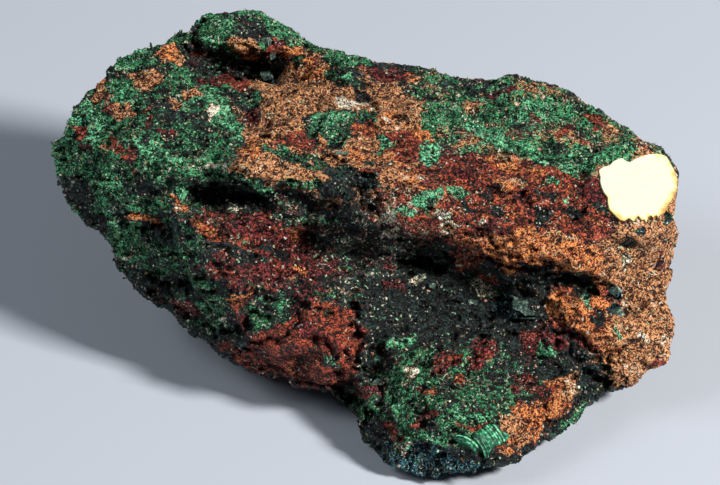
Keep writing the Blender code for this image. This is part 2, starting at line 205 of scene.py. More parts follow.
# %% The recipes
MINERALS = ["malachite", "bright", "tan", "rust", "orange", "cream", "wine", "slate"]
RECIPES = {
    "green crust": dict(malachite=0.74, bright=0.24, tan=0.20, rust=0.16, cream=0.08, wine=0.18, slate=0.1),
    "green mat": dict(malachite=0.84, bright=0.30, tan=0.12, cream=0.06),
    "bright crust": dict(malachite=0.90, bright=0.84, cream=0.12, tan=0.03),
    "dark crust": dict(malachite=0.48, bright=0.14, tan=0.08, rust=0.14, cream=0.05, wine=0.20, slate=0.2),
    "needle green": dict(malachite=0.62, bright=0.20, cream=0.05, slate=0.1),
    # night and black are dark ore; the patches also lay them where shade falls, as painted shade.
    "night": dict(malachite=0.18, bright=0.10, rust=0.10, cream=0.10, wine=0.24, slate=0.14),
    "black": dict(malachite=0.06, wine=0.08, slate=0.16, cream=0.02),
    # Its cream and bright shares make pale flecks that are pale crystals and also painted glints.
    "glinting night": dict(malachite=0.32, bright=0.22, rust=0.24, cream=0.24, wine=0.34, tan=0.12, slate=0.12),
    "night green": dict(malachite=0.26, bright=0.08, cream=0.04, slate=0.2, wine=0.14),
    "clay": dict(tan=0.90, rust=0.34, orange=0.20, cream=0.14, malachite=0.06),
    "light clay": dict(tan=1.0, rust=0.16, orange=0.14, cream=0.26),
    "ochre": dict(tan=0.85, orange=0.62, cream=0.3, rust=0.2),
    "pink clay": dict(tan=0.93, rust=0.40, orange=0.12, cream=0.26, wine=0.25),
    "ledge": dict(tan=0.52, rust=0.66, orange=0.58, cream=0.12, wine=0.38),
    "rust": dict(rust=0.72, tan=0.08, orange=0.30, wine=0.80, malachite=0.14, cream=0.10),
    "flecked rust": dict(rust=0.62, tan=0.22, orange=0.32, cream=0.24, malachite=0.30, bright=0.22, wine=0.64),
    "orange": dict(orange=0.86, rust=0.62, tan=0.34, cream=0.18),
    "red": dict(orange=0.50, rust=0.90, wine=0.46, tan=0.06),
    "wine": dict(wine=0.80, rust=0.40, malachite=0.12, tan=0.06, cream=0.04),
    "wine crust": dict(wine=0.74, rust=0.34, malachite=0.24, tan=0.08, cream=0.10, slate=0.1),
    "red lump": dict(rust=0.78, wine=0.9, tan=0.03, malachite=0.04),
    "brown face": dict(rust=0.74, tan=0.16, wine=0.7, malachite=0.24),
    "cream": dict(cream=0.85, tan=0.75, orange=0.2),
    "pale green": dict(cream=0.72, bright=0.8, malachite=0.8),
    "slate": dict(slate=1.0, malachite=0.25, bright=0.08),
    "tongue": dict(malachite=0.64, bright=0.18, tan=0.08, rust=0.14, cream=0.05, wine=0.34, slate=0.1),
    "dome": dict(malachite=0.58, bright=0.16, tan=0.48, rust=0.28, cream=0.18, wine=0.34),
    "dome green": dict(malachite=0.80, bright=0.40, tan=0.26, rust=0.18, cream=0.16),
    "dome brown": dict(malachite=0.40, bright=0.12, tan=0.66, rust=0.44, cream=0.16, wine=0.2),
}
for name in RECIPES:
    assert set(RECIPES[name]) <= set(MINERALS), name
print(len(RECIPES), "mixtures of", len(MINERALS), "minerals")

# %% [markdown]
# Each patch is a mixture, its middle, its half-length and half-width in millimetres, and how far it is turned in
# degrees. They are kept as plain tables, which a small function reads. The showing side's wide patches come first.

# %% The wide patches
def patches(table):
    """Reads a table of patches. A line that starts with # says where those under it lie."""
    rows = [line for line in table.splitlines() if not line.strip().startswith("#")]
    entries = [entry.split() for entry in " ".join(rows).split(",")]
    return [(" ".join(words[:-5]), *(float(word) for word in words[-5:])) for words in entries]


# The night and black patches right of the red lump are dark ore with the ledge's shadow painted on it.
WIDE = patches("""
    night 0 0 90 70 0, green crust -43 20 24 17 25, green crust -25 40 15 9 -12, clay -6 22 21 15 -15,
    dome 33 22 27 11 -16, rust 34 8 25 8 -10, flecked rust 14 5 13 6 -10, ledge 37 -3.5 17 5.2 -10,
    pink clay 57 -6 9 22 5, pink clay 54 -19 10 8 20, ledge 43 -15 8 6 0, glinting night -5 -4 32 9 -20,
    night 20 -15 18 9 -12, black 17 -13.5 11 4.6 -12, dark crust -40 2 16 11 -30, wine crust -22 -3 15 8 -15,
    dark crust -28 -15 14 5 -28, red lump -13 -21 14 8 -18, tongue 16 -32 19 11 -8, slate 8 -44 15 3.6 -6,
    ledge 34 -35 11 3.4 42
""")
print(len(WIDE), "wide patches")

# %% The patches of the top
# The night patches in the knob's cave are painted shade on dark ore.
TOP = patches("""
    # the left slope
    dark crust -38.5 24.5 8 4 10, dark crust -36 20.5 7 2.6 -10, night -50 34 2.8 1.7 20,
    bright crust -55.5 24 3.2 3.6 20, green mat -52 28.5 5 3 40, dark crust -38.5 29.5 6 2.2 15,
    bright crust -33 28.6 4 1.7 12, bright crust -41 17.6 6.8 1.6 -24, cream -30 25.4 1.7 1.5 0,
    bright crust -28.6 24.2 1.8 2.8 0, pale green -32 15.2 4.4 0.6 2, bright crust -25.5 22.5 1.6 1.8 0,
    clay -46.2 33.8 2 1.6 20, clay -42.8 33 2.9 2.1 35, orange -39 37.8 2.8 1.3 -8, clay -36.6 36.6 1.4 1.2 0,
    orange -52.8 31.6 1.1 1.5 45, clay -53.2 29 2.8 1.2 15, clay -48.2 26.2 1.8 1.3 0, clay -38.2 28 2.4 1.2 0,
    clay -34.2 30 1.9 1.5 10, rust -51 27 1.5 0.9 0, rust -50.2 19.4 1.6 1.6 0, rust -57.2 21.4 1.3 1 0,
    clay -52.2 18 1.2 1 0, rust -47.4 16.2 1.4 3 8, clay -46.2 13.6 2.4 1 -20, rust -55.8 19 1 0.9 0,
    wine -43 23 1 0.9 0, wine -40.2 21.6 1.3 1 0, dark crust -30.5 20.5 4.6 3 0, green mat -52 13.5 5 3.2 -25,
    clay -43.5 26 1 0.8 0, green mat -47 37 5 2 38, green crust -40 13.8 8 2 -6, night -44.5 20.5 1.4 1.2 0,
    # the knob and its cave
    dark crust -25.5 43.5 7 2.8 -4, green crust -29 43.6 3 1.6 30, night green -23 42.2 5.6 1.3 -10,
    bright crust -31.6 39.6 1.6 1.3 0, clay -24.6 39.2 3.6 1.5 -4, orange -22.6 36.8 2.2 1.1 -15,
    wine crust -18.2 38.2 1.8 3.4 10, dome green -17.6 42.8 2.6 1.6 -40, night -24.2 34.6 7 2.3 -8,
    night -33 36.6 3.2 3.2 35, night -34.6 42.4 0.9 2 15, wine -29 32.4 4.6 1.1 0, rust -25.6 31.8 3 0.8 -10,
    slate -19.8 32.8 1.4 0.9 -25, dark crust -36.2 40.2 2.4 1.6 20, wine -22.4 25.4 1.7 2.2 10,
    dark crust -24.6 28.6 2.8 2.4 0,
    # the plateau
    orange -14.4 36.2 4 2.2 -35, orange -10 33.6 3.8 2.2 -25, green mat -14.4 35.8 1.2 1 0,
    light clay -17.8 25.8 3.4 3 -28, light clay -11.4 31.2 5.4 1.3 -14, clay -9 27.6 6 2.6 0,
    dark crust -4.4 33.2 4.4 2 -12, bright crust -4.2 33.2 1.6 0.7 0, green crust -4.6 37.2 8 1.7 -16,
    wine crust 4.8 33.6 4.2 1.8 -8, red 9.6 33.2 1.3 1.2 0, dome 15 33 5 1.5 -8, night 0.4 29.4 2 1.5 -10,
    clay 4.6 29.6 3.2 1.6 0, clay 7 26.6 4.6 3 0, cream -3.6 28 2.7 1 -12, cream 0.8 27.2 1.9 0.8 -20,
    ochre 4.6 25 1.8 1.2 0, needle green -6.8 22.2 5.6 4 14, bright crust -7.2 25 4 0.9 14,
    needle green 1 24.2 1.9 1.3 0, night -5 19.6 1.6 1.2 0, night -10.8 25.2 1.4 1 20, orange -9.6 19.8 1 1.5 0,
    red 0.4 22.2 3.4 1.6 -6, orange 10.4 21.6 3.4 1.8 -5, rust 7.4 18.8 2.8 2.8 0,
    bright crust 3.8 19.2 1.3 0.9 0, bright crust 12.8 18.2 2.4 2.4 0, dome green 14.8 24.6 3.6 2.2 0,
    ochre 4.6 16.9 2 1 -15, ochre 9.4 12.4 2.6 1.8 0, rust -14.6 20.2 3.8 1.7 -8, orange -22.8 18.8 2.6 2.2 20,
    clay -9 15 5 1.8 -8, needle green -17.8 18.2 3 1.4 0, needle green -12 16.3 3.6 0.9 -14,
    light clay -17.2 14.2 8 2.1 -4, ochre -1.5 17.2 3 1.2 -20, night green -2.4 12.6 6.2 2.6 -14,
    night -6 9.8 4 1.2 -16, clay 4.6 11.4 2.6 2.2 30, bright crust -21.6 10.4 4.4 1.6 -6,
    green crust -12.6 11.6 3.6 1 -4, rust 1.2 14.4 3 1.2 -20,
    # the dome at the right
    dark crust 21 31 6 1.6 0, wine crust 27 29.6 3 1 -10, dome green 17.2 25.8 1.6 2.4 0,
    dome green 27.5 26.5 5 2 -10, bright crust 24.8 21.2 4.8 1.3 -22, dome brown 21.5 27.5 2.6 1.2 0,
    dome green 37 27 5 1.8 -24, rust 39.8 22 1.5 0.8 0, rust 46.4 24.2 2.2 1.1 -25, wine 43.6 20.2 1.2 0.8 0,
    dome brown 49.8 21.4 2 1.8 -30, dome green 45 17.4 7.4 1.8 -6, dome green 33.4 18 4.4 1.8 -12,
    dark crust 30.6 23.2 2.2 1.4 0, dark crust 38.6 18.8 2.4 1.2 0, dome brown 20.4 19.6 2.8 1.6 0,
    wine 33.8 24.6 1.3 0.7 0, dome brown 34.6 30.4 4 1 -14, dome brown 56.2 18.2 3.4 1 -20,
    dome brown 28.2 16.6 5 0.9 -12, bright crust 41.4 15.6 2.2 0.9 0
""")
print(len(TOP), "patches on the top")

# %% The patches of the front and the ends
# Night patches under the ledges, in caves and slots, on the far left facet and under the tongue: painted shade on dark
# ore.
FRONT = patches("""
    # the band of rust under the dome
    orange 28.2 15 3.6 1.1 -14, red 33.2 13.4 3.6 1.3 -36, ochre 29.4 11.4 2.8 1.3 -10,
    bright crust 37.4 12.6 1.2 0.8 0, pale green 39.8 8.2 1.6 0.9 0, bright crust 18.2 9.6 1.8 1.3 0,
    pale green 16.2 5 1.5 1.1 0, night green 35.2 5 2.9 1.8 0, night 24 9.2 1.4 0.8 0, red 23.6 5.8 1.6 2 -50,
    wine 30 8.4 3 1 15, wine 44.6 9.6 3 2 0, wine 20.6 13 2.8 1.2 -10, bright crust 12.4 8.4 2.4 1.4 0,
    cream 4.6 4.8 1.7 0.9 0, cream 4.4 1.4 2 0.7 -10, bright crust 8 5.6 1.8 1.1 0, cream 17.6 2.6 2.4 0.6 -8,
    night 27 5.4 2.6 0.9 -20, night 36.5 9.6 1.7 0.9 10, night 42 5.6 2.4 0.7 -12, wine 26 1.8 3.6 1.1 -8,
    night 46.6 6.6 1.6 0.8 -30, night 20.4 7.4 1.8 0.7 -15, wine 50 4.6 2.6 1.6 0,
    dome brown 44.4 13.2 3 0.9 -12, cream 22.5 3.4 1 0.5 -20,
    # the ledge and the right end
    light clay 39.2 1 3.8 1.2 -8, ledge 33.8 -3.6 8.4 2.2 -12, orange 45 -3 3.4 1.6 -20,
    night 38.6 -8 7.6 1.3 -14, night 52.6 -0.6 0.9 1.7 8, pale green 52.8 -5 0.9 1.1 0,
    slate 49.8 -10.2 1.6 0.9 -20, slate 50.2 -14.6 1.7 1.1 5, dark crust 54.2 2.4 1.4 0.8 0,
    orange 38.4 -13.4 2.2 1.7 0, night 46.4 -15.2 1.3 0.8 0, bright crust 44.6 -11.6 0.8 1.7 0,
    wine 35.2 -20.4 4 2.7 -20, bright crust 35.6 -22.6 1.3 1.3 0, wine 42.6 -20 3.6 1 -30,
    light clay 54 -17.6 5.2 3.6 20, light clay 52 -26.2 3.6 3.2 0, night 45.8 -28.4 3.6 1.7 0,
    wine 58.6 -24.8 2.6 0.9 12, light clay 42 -28.6 1.8 2.2 30, bright crust 50.8 -18.6 0.7 1.6 0,
    wine crust 60.6 -3.6 0.9 2.6 0, ledge 47.6 -22 3.2 1.4 -20, dark crust 60.4 3.6 1 1.4 0,
    # the dark band
    night 12.6 -4.2 4.2 1.9 -8, pale green 11.2 -7.8 1.5 1.2 0, flecked rust 20 -3.4 3 2.8 -30,
    flecked rust 24.4 -8.6 3.2 1.5 -25, pale green 23 -9.4 1.6 0.8 -20, red -14 0.4 1.7 1.2 0,
    red -13.4 -6.2 1.7 1.7 0, ochre -19 -0.8 1.4 0.8 0, bright crust -21 -12.2 1.1 0.9 0,
    wine crust 24 -21.4 2.6 1.4 0, slate 28.6 -12.6 3 1.2 -10, wine 6 -9.6 3.2 0.9 -12,
    # the left flank
    night -58.6 9.6 4.6 3 -38, night -55 4 4 1.5 -48, bright crust -51.4 4.6 5.2 0.8 -66,
    night -43.8 10.2 2.4 2.2 0, orange -46.8 4.8 2 0.8 -8, orange -42.6 3.9 2.4 0.8 -4, night -42 2.6 2.8 0.9 0,
    orange -37.8 7.2 2 1.4 -25, cream -38.6 7.4 0.8 0.7 0, bright crust -36.6 9.8 1.8 0.9 0,
    night -27 8.4 8 2.6 -5, red -31 2.4 3.4 2.2 -15, flecked rust -27.4 -1.4 3.8 2.3 -20, cream -27 6 2.8 0.6 0,
    wine -20.5 2 4.6 3 -20, green mat -47.6 -0.8 4.4 2.4 -60, green mat -54 12 4.4 3 -50,
    pale green -47.2 -2.6 0.9 1 0, green crust -42 7 4 1.4 0, orange -26 -11.6 3.4 1.1 8,
    red -24.6 -13.2 2.4 1.2 0, bright crust -29.2 -12.4 1.3 1 0, bright crust -33 -13.6 0.8 1.2 0,
    pale green -42.8 -11.2 0.9 0.7 0, night -38.8 -9 4.4 1.7 20, night -24 -2.8 5 1.1 -10,
    night -30.4 -0.6 3 1 -24, night -17.4 -2 3 0.8 -20, dark crust -35.5 -1.6 4.4 4 0,
    wine crust -36 -13.6 2.6 1.6 -30, pale green -29 -16.6 0.9 0.8 0,
    # the red lump
    brown face -6.8 -17.4 6.2 4.6 -30, red lump -25.4 -23.2 4.6 1.6 -26, night green -26.2 -19.8 3.6 2 -25,
    dark crust -19.4 -14.6 6 2.8 25, wine -12.6 -17.2 2 3.2 50, dark crust -6.4 -25.2 2.4 1.2 28,
    rust -12.8 -25.4 3.6 2.4 30, wine -6 -21.6 3.6 1.2 -20, brown face -20.2 -19.8 2 0.9 20,
    night green 5.6 -17.2 5.2 3.8 0, bright crust 7.6 -19.6 3 1.3 28, needle green 14 -21.4 3 0.9 60,
    night 0.6 -26 1.4 4.2 -8, rust -3.4 -27.6 3 0.9 30,
    # the tongue
    wine crust 0.8 -29.6 2.8 1.9 20, pale green 2.2 -28.4 1.7 0.8 20, wine 15.8 -24.4 2.3 1.9 40,
    wine 21.8 -24.2 2.2 1.6 40, red 19 -27.6 1.2 1 0, red 12 -29 1.2 0.9 0, cream 9.4 -25.8 0.9 1.1 40,
    bright crust 5.8 -32.4 1.6 1.7 0, dark crust 21 -31 6.6 2.6 -10, bright crust 20.6 -34.4 3.8 0.9 -10,
    rust 5.4 -38 1.8 1.1 0, pale green 6.8 -40.8 1.4 1.6 0, bright crust 14.8 -40.2 1.5 0.8 0,
    light clay 29.4 -35.4 2.7 2 -15, clay 29.8 -39.2 2.2 1.8 40, orange 35.8 -34.4 5.4 2 45,
    light clay 40.6 -29.4 2.6 1.6 45, green crust 42.4 -34.6 4.4 1 42, rust 21 -36.6 3 0.7 10,
    night 20.4 -43.2 4.6 1.8 -6, night green 34 -41.4 5 1.2 24, night 1.6 -40 2 4 30,
    dark crust 27.8 -25.6 3.2 4.4 0, wine crust 32.6 -28.6 2.6 1.8 30, rust 12 -35.6 2.4 0.8 15,
    dark crust 13 -37.4 4 1.4 0
""")
print(len(FRONT), "patches on the front and the ends")

# %% [markdown]
# The back isn't in the photograph, so it goes on from the rims: the same minerals in wide bands, less bright.

# %% The patches of the back
BACK = patches("""
    dark crust 0 0 90 70 0, green crust -40 26 20 14 20, rust -6 30 20 9 -8, dome 32 24 24 11 -12,
    pink clay 54 -2 12 22 0, wine crust -20 8 24 8 -12, clay -6 14 9 4 10, green mat 16 4 12 5 -20,
    ledge 34 4 11 5 12, night green -34 -6 18 7 -24, rust -8 -20 16 6 -10, green crust 22 -26 20 8 12,
    orange 4 24 4 2.4 20, bright crust -24 22 5 2 -20, bright crust 26 14 4 2 30, cream 10 12 2 1 0,
    cream -14 30 2 1 0, bright crust -46 10 4 3 0
""")
print(len(BACK), "patches on the back")

# %% [markdown]
# A patch's paint is full in its middle and gone at its rim. The showing side's patches fade where the smooth form
# turns away from the eye, and the back's patches lie under them. The hidden side also gets small patches at random
# places, which are round in all three directions, so that they don't run into streaks on the steep flanks.

# %% Paint the minerals
LABEL_MIDDLE = (54.6, 10.2)
SEEN_FADE = 0.35
HIDDEN_PATCHES = 900
HIDDEN_SIZES_MM = (0.7, 3.8)
HIDDEN_COVER = 0.8
BRUSH_REACH = 1.25
BRUSH_FADE = 0.5
HIDDEN_MIXTURES = ["green crust", "dark crust", "green mat", "night green", "clay", "rust", "wine crust", "ledge",
                   "night", "bright crust", "orange", "dome", "flecked rust", "needle green"]


def brush(x, y, patch):
    """How strongly one patch paints each point, from 0 to 1."""
    _, cx, cy, half_length, half_width, turn = patch
    c, s = math.cos(math.radians(turn)), math.sin(math.radians(turn))
    along = ((x - cx) * c + (y - cy) * s) / half_length
    across = ((y - cy) * c - (x - cx) * s) / half_width
    return np.clip((BRUSH_REACH - np.hypot(along, across)) / BRUSH_FADE, 0.0, 1.0)


def stray(points, size_mm, reach_mm):
    """A smooth random shift of each point of the plane, so that a patch's rim wanders."""
    shift = np.array([noise.noise_vector(Vector(point) / size_mm) for point in points])
    return shift[:, :2] * reach_mm


def add_value(mesh, name, values):
    """Keeps one number for each point of a mesh."""
    layer = mesh.attributes.new(name, "FLOAT", "POINT")
    layer.data.foreach_set("value", values.astype(np.float32))


def read_values(mesh, name, key="value", width=1):
    """Reads an attribute of a mesh's points back as an array."""
    values = np.empty(len(mesh.vertices) * width, dtype=np.float32)
    mesh.attributes[name].data.foreach_get(key, values)
    return values.reshape(-1, width) if width > 1 else values


def paint(shares, x, y, table, strength):
    """Paints a table's patches over the shares, one after another."""
    for patch in table:
        recipe = np.array([RECIPES[patch[0]].get(mineral, 0.0) for mineral in MINERALS])
        cover = (brush(x, y, patch) * strength)[:, None]
        shares = shares * (1 - cover) + recipe * cover
    return shares


facing = normals_of(skin.data) @ np.array(TOWARDS_EYE)
seen = np.clip((facing + SEEN_FADE) / SEEN_FADE, 0.0, 1.0)
flat = on_plane(places(skin.data))
wander = stray(flat, 5.0, 2.0) + stray(flat, 1.7, 1.1)
across, up = flat[:, 0] + wander[:, 0], flat[:, 1] + wander[:, 1]
shares = np.zeros((len(across), len(MINERALS)))
shares = paint(shares, across, up, BACK, np.ones(len(across)))
chance = random.Random(12)
hidden = np.nonzero(seen < 0.5)[0]
around = np.stack([across, up, flat[:, 2]], axis=1)[hidden]
under = shares[hidden]
for _ in range(HIDDEN_PATCHES):
    middle = flat[hidden[chance.randrange(len(hidden))]]
    recipe = RECIPES[chance.choice(HIDDEN_MIXTURES)]
    half_size = chance.uniform(*HIDDEN_SIZES_MM)
    distance = np.linalg.norm(around - middle, axis=1) / half_size
    cover = np.clip((BRUSH_REACH - distance) / BRUSH_FADE, 0.0, HIDDEN_COVER)[:, None]
    under = under * (1 - cover) + np.array([recipe.get(mineral, 0.0) for mineral in MINERALS]) * cover
shares[hidden] = under
for table in (WIDE, TOP, FRONT):
    shares = paint(shares, across, up, table, seen)
for name, columns in (("ore_a", (0, 1, 2, 3)), ("ore_b", (4, 5, 6, 7))):
    layer = skin.data.attributes.new(name, "FLOAT_COLOR", "POINT")
    layer.data.foreach_set("color", shares[:, columns].astype(np.float32).ravel())
add_value(skin.data, "seen", seen)
print("painted", len(shares), "points")

# %% [markdown]
# ## Fracture and grain
# Rock breaks into chunks, the chunks are rough, and a crust of tiny crystals covers them. Displace modifiers push the
# skin out along its normals, each with a procedural texture of its own size. A Voronoi texture in its position mode
# gives each cell one height, so the surface breaks into steps like a real fracture, and in its distance mode it cuts
# cracks between cells. The clay and the ground under the label patch are smoother than the crust, so a vertex group
# weakens the push there.

# %% Fracture and grain
def add_push(obj, name, kind, size_mm, strength_mm, middle, group, **settings):
    """A Displace modifier with its own procedural texture."""
    texture = bpy.data.textures.new(name, kind)
    texture.noise_scale = size_mm * MM
    for key, value in settings.items():
        setattr(texture, key, value)
    push = obj.modifiers.new(name, "DISPLACE")
    push.texture = texture
    push.texture_coords = "LOCAL"
    push.strength = strength_mm * MM
    push.mid_level = middle
    push.vertex_group = group
    return push


def add_group(obj, name, weights):
    """Keeps a weight for each point, which a modifier can read."""
    group = obj.vertex_groups.new(name=name)
    for index in np.nonzero(weights > 0.01)[0]:
        group.add([int(index)], float(weights[index]), "REPLACE")
    return group


RED_LUMP = ("red lump", -14, -20.5, 12, 6, -18)
LABEL_CALM_MM = 8.5
LUMP_CALM = 0.8
CLAY_CALM = 0.65
clay_share = np.clip(shares[:, 2] + shares[:, 3] * 0.5 - 0.3, 0.0, 1.0)
from_label = np.hypot(flat[:, 0] - LABEL_MIDDLE[0], flat[:, 1] - LABEL_MIDDLE[1])
calm = np.where(seen > 0.4, np.clip((from_label - LABEL_CALM_MM) / 3.0, 0.12, 1.0), 1.0)
lump = brush(flat[:, 0], flat[:, 1], RED_LUMP) * seen
calm = calm * (1.0 - LUMP_CALM * lump)
add_group(skin, "rough", calm * (1.0 - CLAY_CALM * clay_share))
add_group(skin, "chunky", calm)
add_push(skin, "chunks", "VORONOI", 5.2, 1.1, 0.32, "chunky", weight_1=-1.0, weight_2=1.0)
add_push(skin, "steps", "VORONOI", 3.4, 1.5, 0.5, "chunky", color_mode="POSITION", distance_metric="MANHATTAN")
add_push(skin, "broken", "CLOUDS", 1.6, 0.55, 0.45, "rough", noise_depth=4, noise_type="HARD_NOISE")
add_push(skin, "small steps", "VORONOI", 0.9, 0.55, 0.5, "rough", color_mode="POSITION")
add_push(skin, "grains", "VORONOI", 0.95, 0.4, 0.30, "rough", weight_1=-1.0, weight_2=1.0)
finish_modifiers(skin)
print("the skin has", triangles(skin), "triangles after the pushes")

# %% [markdown]
# ## Cracks, hollows and knobs
# A few dents and ridges are too small for the CAD rock and too plain to miss: the cracks round the red lump, the dark
# slots under the ledges and the beads of clay. Each is pressed into the skin, or drawn out of it, along the line of
# sight, by a smooth stroke along a line.

# %% Cracks, hollows and knobs
# Half-width, depth (below zero cuts in) and the points of the stroke.
STROKES = [
    (2.5, -3.8, [(-28.6, 35.4), (-24.0, 34.0), (-19.2, 34.2)]),
    (1.8, -2.6, [(-34.6, 38.4), (-31.0, 36.2)]),
    (2.1, -3.6, [(-32.6, 7.6), (-27.0, 9.0), (-20.0, 8.2)]),
    (1.5, -3.2, [(7.6, -3.4), (12.0, -4.0), (16.6, -4.6)]),
    (1.6, -3.0, [(43.6, -27.4), (48.4, -29.4)]),
    (1.4, -3.0, [(-5.2, -28.6), (-2.6, -32.4)]),
    (0.7, -1.6, [(-25.6, -22.8), (-21.0, -20.6), (-17.0, -19.0), (-13.8, -15.4)]),
    (0.8, -2.2, [(-1.6, -13.0), (-1.8, -18.0), (-0.8, -22.0), (-0.6, -26.4)]),
    (0.8, -1.6, [(-10.4, -19.4), (-7.0, -22.4), (-1.8, -23.2)]),
    (0.9, -2.0, [(-20.0, -15.2), (-24.0, -17.8), (-29.0, -18.6)]),
    (1.0, -2.4, [(-4.6, -30.2), (-1.0, -32.4), (0.4, -35.6)]),
    (1.0, -2.2, [(24.4, -3.4), (31.2, -5.4), (35.2, -4.4), (41.0, -8.2), (48.4, -9.8)]),
    (0.8, -1.6, [(36.0, -9.4), (40.0, -10.8), (45.0, -11.2)]),
    (0.7, -1.4, [(52.6, -14.6), (56.4, -12.0), (60.6, -10.2)]),
    (0.9, -2.0, [(38.0, -19.0), (43.0, -20.6), (47.0, -24.4), (50.0, -23.0)]),
    (0.9, -2.0, [(-46.0, 2.6), (-42.0, 2.4), (-38.8, 2.8)]),
    (1.2, -2.0, [(-42.0, -7.6), (-37.0, -9.6), (-33.0, -8.2)]),
    (0.8, -1.4, [(-35.0, 15.0), (-30.0, 13.4), (-26.0, 13.0), (-20.0, 11.6)]),
    (0.7, -1.2, [(3.4, -32.0), (2.4, -29.6), (5.0, -28.4)]),
    (0.7, -1.3, [(12.4, -20.0), (10.6, -24.0), (8.6, -28.0)]),
    (0.7, -1.3, [(17.6, -19.6), (16.4, -22.6), (13.8, -27.0)]),
    (0.7, -1.3, [(23.8, -19.8), (22.6, -22.6), (19.4, -26.4)]),
    (0.6, -1.2, [(31.4, -17.6), (27.0, -16.4), (24.0, -16.0)]),
    (1.4, -2.4, [(-30.0, 34.6), (-24.0, 33.6), (-19.0, 34.0)]),
    (1.0, -1.8, [(-33.0, 44.0), (-34.4, 41.0), (-33.4, 38.0), (-31.0, 35.4)]),
    (0.8, -1.6, [(-23.6, 28.6), (-22.4, 25.6), (-22.8, 22.4), (-19.4, 20.8)]),
    (0.8, -1.4, [(-1.6, 31.0), (0.8, 29.2), (2.0, 26.8)]),
    (0.7, -1.2, [(-11.2, 17.2), (-4.0, 14.8), (0.6, 11.4), (2.6, 8.6)]),
    (0.9, -1.6, [(-3.0, 10.0), (2.0, 6.0), (6.0, 0.2), (12.0, -1.4)]),
    (0.7, -1.4, [(21.2, 9.6), (26.0, 10.4), (31.0, 8.2), (33.0, 5.8)]),
    (0.8, -1.4, [(16.2, 1.4), (22.0, 1.8), (28.0, -0.4)]),
    (0.9, 1.0, [(-43.6, 19.4), (-40.0, 17.4), (-36.6, 15.8)]),
    (0.8, 0.8, [(-36.0, 15.2), (-31.0, 15.4), (-26.4, 15.0)]),
    (1.6, 1.2, [(36.2, -4.2), (43.0, -5.4)]),
    (1.2, 1.2, [(42.2, -28.4), (37.2, -34.0), (32.6, -38.2)]),
    (1.4, 1.4, [(10.6, -22.6), (8.0, -26.4)]),
    (1.2, 1.2, [(15.6, -22.6), (13.4, -26.4)]),
    (1.2, 1.0, [(21.2, -22.6), (19.0, -26.6)]),
    (1.6, 1.3, [(7.4, 26.0), (9.4, 25.2)]),
    (1.2, 0.9, [(10.0, 21.4), (12.0, 20.8)]),
]


def stroke_weight(x, y, half_width, line):
    """1 on the line, falling smoothly to 0 away from it."""
    nearest = np.full(len(x), np.inf)
    for (ax, ay), (bx, by) in zip(line, line[1:]):
        dx, dy = bx - ax, by - ay
        share = np.clip(((x - ax) * dx + (y - ay) * dy) / (dx * dx + dy * dy), 0.0, 1.0)
        nearest = np.minimum(nearest, np.hypot(x - ax - share * dx, y - ay - share * dy))
    return np.exp(-((nearest / half_width) ** 2))


points = places(skin.data)
flat = on_plane(points)
wobble = stray(flat, 3.4, 2.4) + stray(flat, 1.1, 0.8)
ragged = 1.0 + 0.9 * np.array([noise.noise(Vector(place) / 1.6) for place in flat])
for half_width, depth, line in STROKES:
    weight = stroke_weight(flat[:, 0] + wobble[:, 0], flat[:, 1] + wobble[:, 1], half_width, line)
    points = points + (weight * seen * ragged * depth * MM)[:, None] * np.array(TOWARDS_EYE)
low, high = np.array(cad_box)
points = np.clip(points, low, high)
set_places(skin.data, points)
print("pressed", len(STROKES), "strokes into the skin")

# %% [markdown]
# The ore is also full of small open cracks that run along its bedding, which lies almost level. A smooth random field,
# stretched along the bedding, sinks the skin wherever it falls low.

# %% The small open cracks
CRACK_MM = (3.4, 1.2, 1.8)
CRACK_DEPTH_MM = 0.9
normals = normals_of(skin.data)
field = np.array([noise.noise(Vector(place)) for place in flat / np.array(CRACK_MM)])
open_here = np.clip((-0.2 - field) / 0.2, 0.0, 1.0) * calm * (1.0 - 0.5 * clay_share)
points = np.clip(places(skin.data) - normals * (open_here * CRACK_DEPTH_MM * MM)[:, None], low, high)
set_places(skin.data, points)
print("cracks open on", round(100 * float((open_here > 0.5).mean()), 1), "% of the skin")

# %% [markdown]
# The skin has more triangles than it needs where it is smooth. A Decimate modifier takes out those that carry the
# least, and a vertex group keeps more of them on the showing side. Then each point is compared with the mean of the
# ground around it: grit and ridges stand above it, and cracks lie below it. The material paints shade into the
# cracks and hollows and a highlight onto the ridges.

# %% Thin the skin and measure its ridges
SKIN_TRIANGLES = 194000


def smoothed(points, edges, rounds):
    """The points moved towards the mean of their neighbours, a few times over."""
    ends, others = edges.ravel(), edges[:, ::-1].ravel()
    count = np.bincount(ends, minlength=len(points))[:, None]
    for _ in range(rounds):
        sums = [np.bincount(ends, weights=points[others, axis], minlength=len(points)) for axis in range(3)]
        points = np.stack(sums, axis=1) / count
    return points


add_group(skin, "thin here", 1.0 - 0.4 * seen)
thin = skin.modifiers.new("thin", "DECIMATE")
thin.ratio = SKIN_TRIANGLES / triangles(skin)
thin.vertex_group = "thin here"
thin.vertex_group_factor = 1.0
keep_inside(finish_modifiers(skin))
points = places(skin.data)
edges = np.empty(len(skin.data.edges) * 2, dtype=np.int64)
skin.data.edges.foreach_get("vertices", edges)
edges = edges.reshape(-1, 2)
normals = normals_of(skin.data)
near, far = smoothed(points, edges, 3), smoothed(points, edges, 30)
height_near = ((points - near) * normals).sum(axis=1) / MM
height_far = ((near - far) * normals).sum(axis=1) / MM
# Painted shade and highlight: low in cracks and hollows, high on grit and ridges.
relief_shading = np.clip(0.5 + height_near * 1.6 + height_far * 0.4, 0.0, 1.0)
add_value(skin.data, "relief_shading", relief_shading)
seen = read_values(skin.data, "seen")
shares = np.hstack([read_values(skin.data, name, "color", 4) for name in ("ore_a", "ore_b")])
print("the thinned skin has", triangles(skin), "triangles; ridges spread", np.percentile(relief_shading, (5, 50, 95)).round(2))
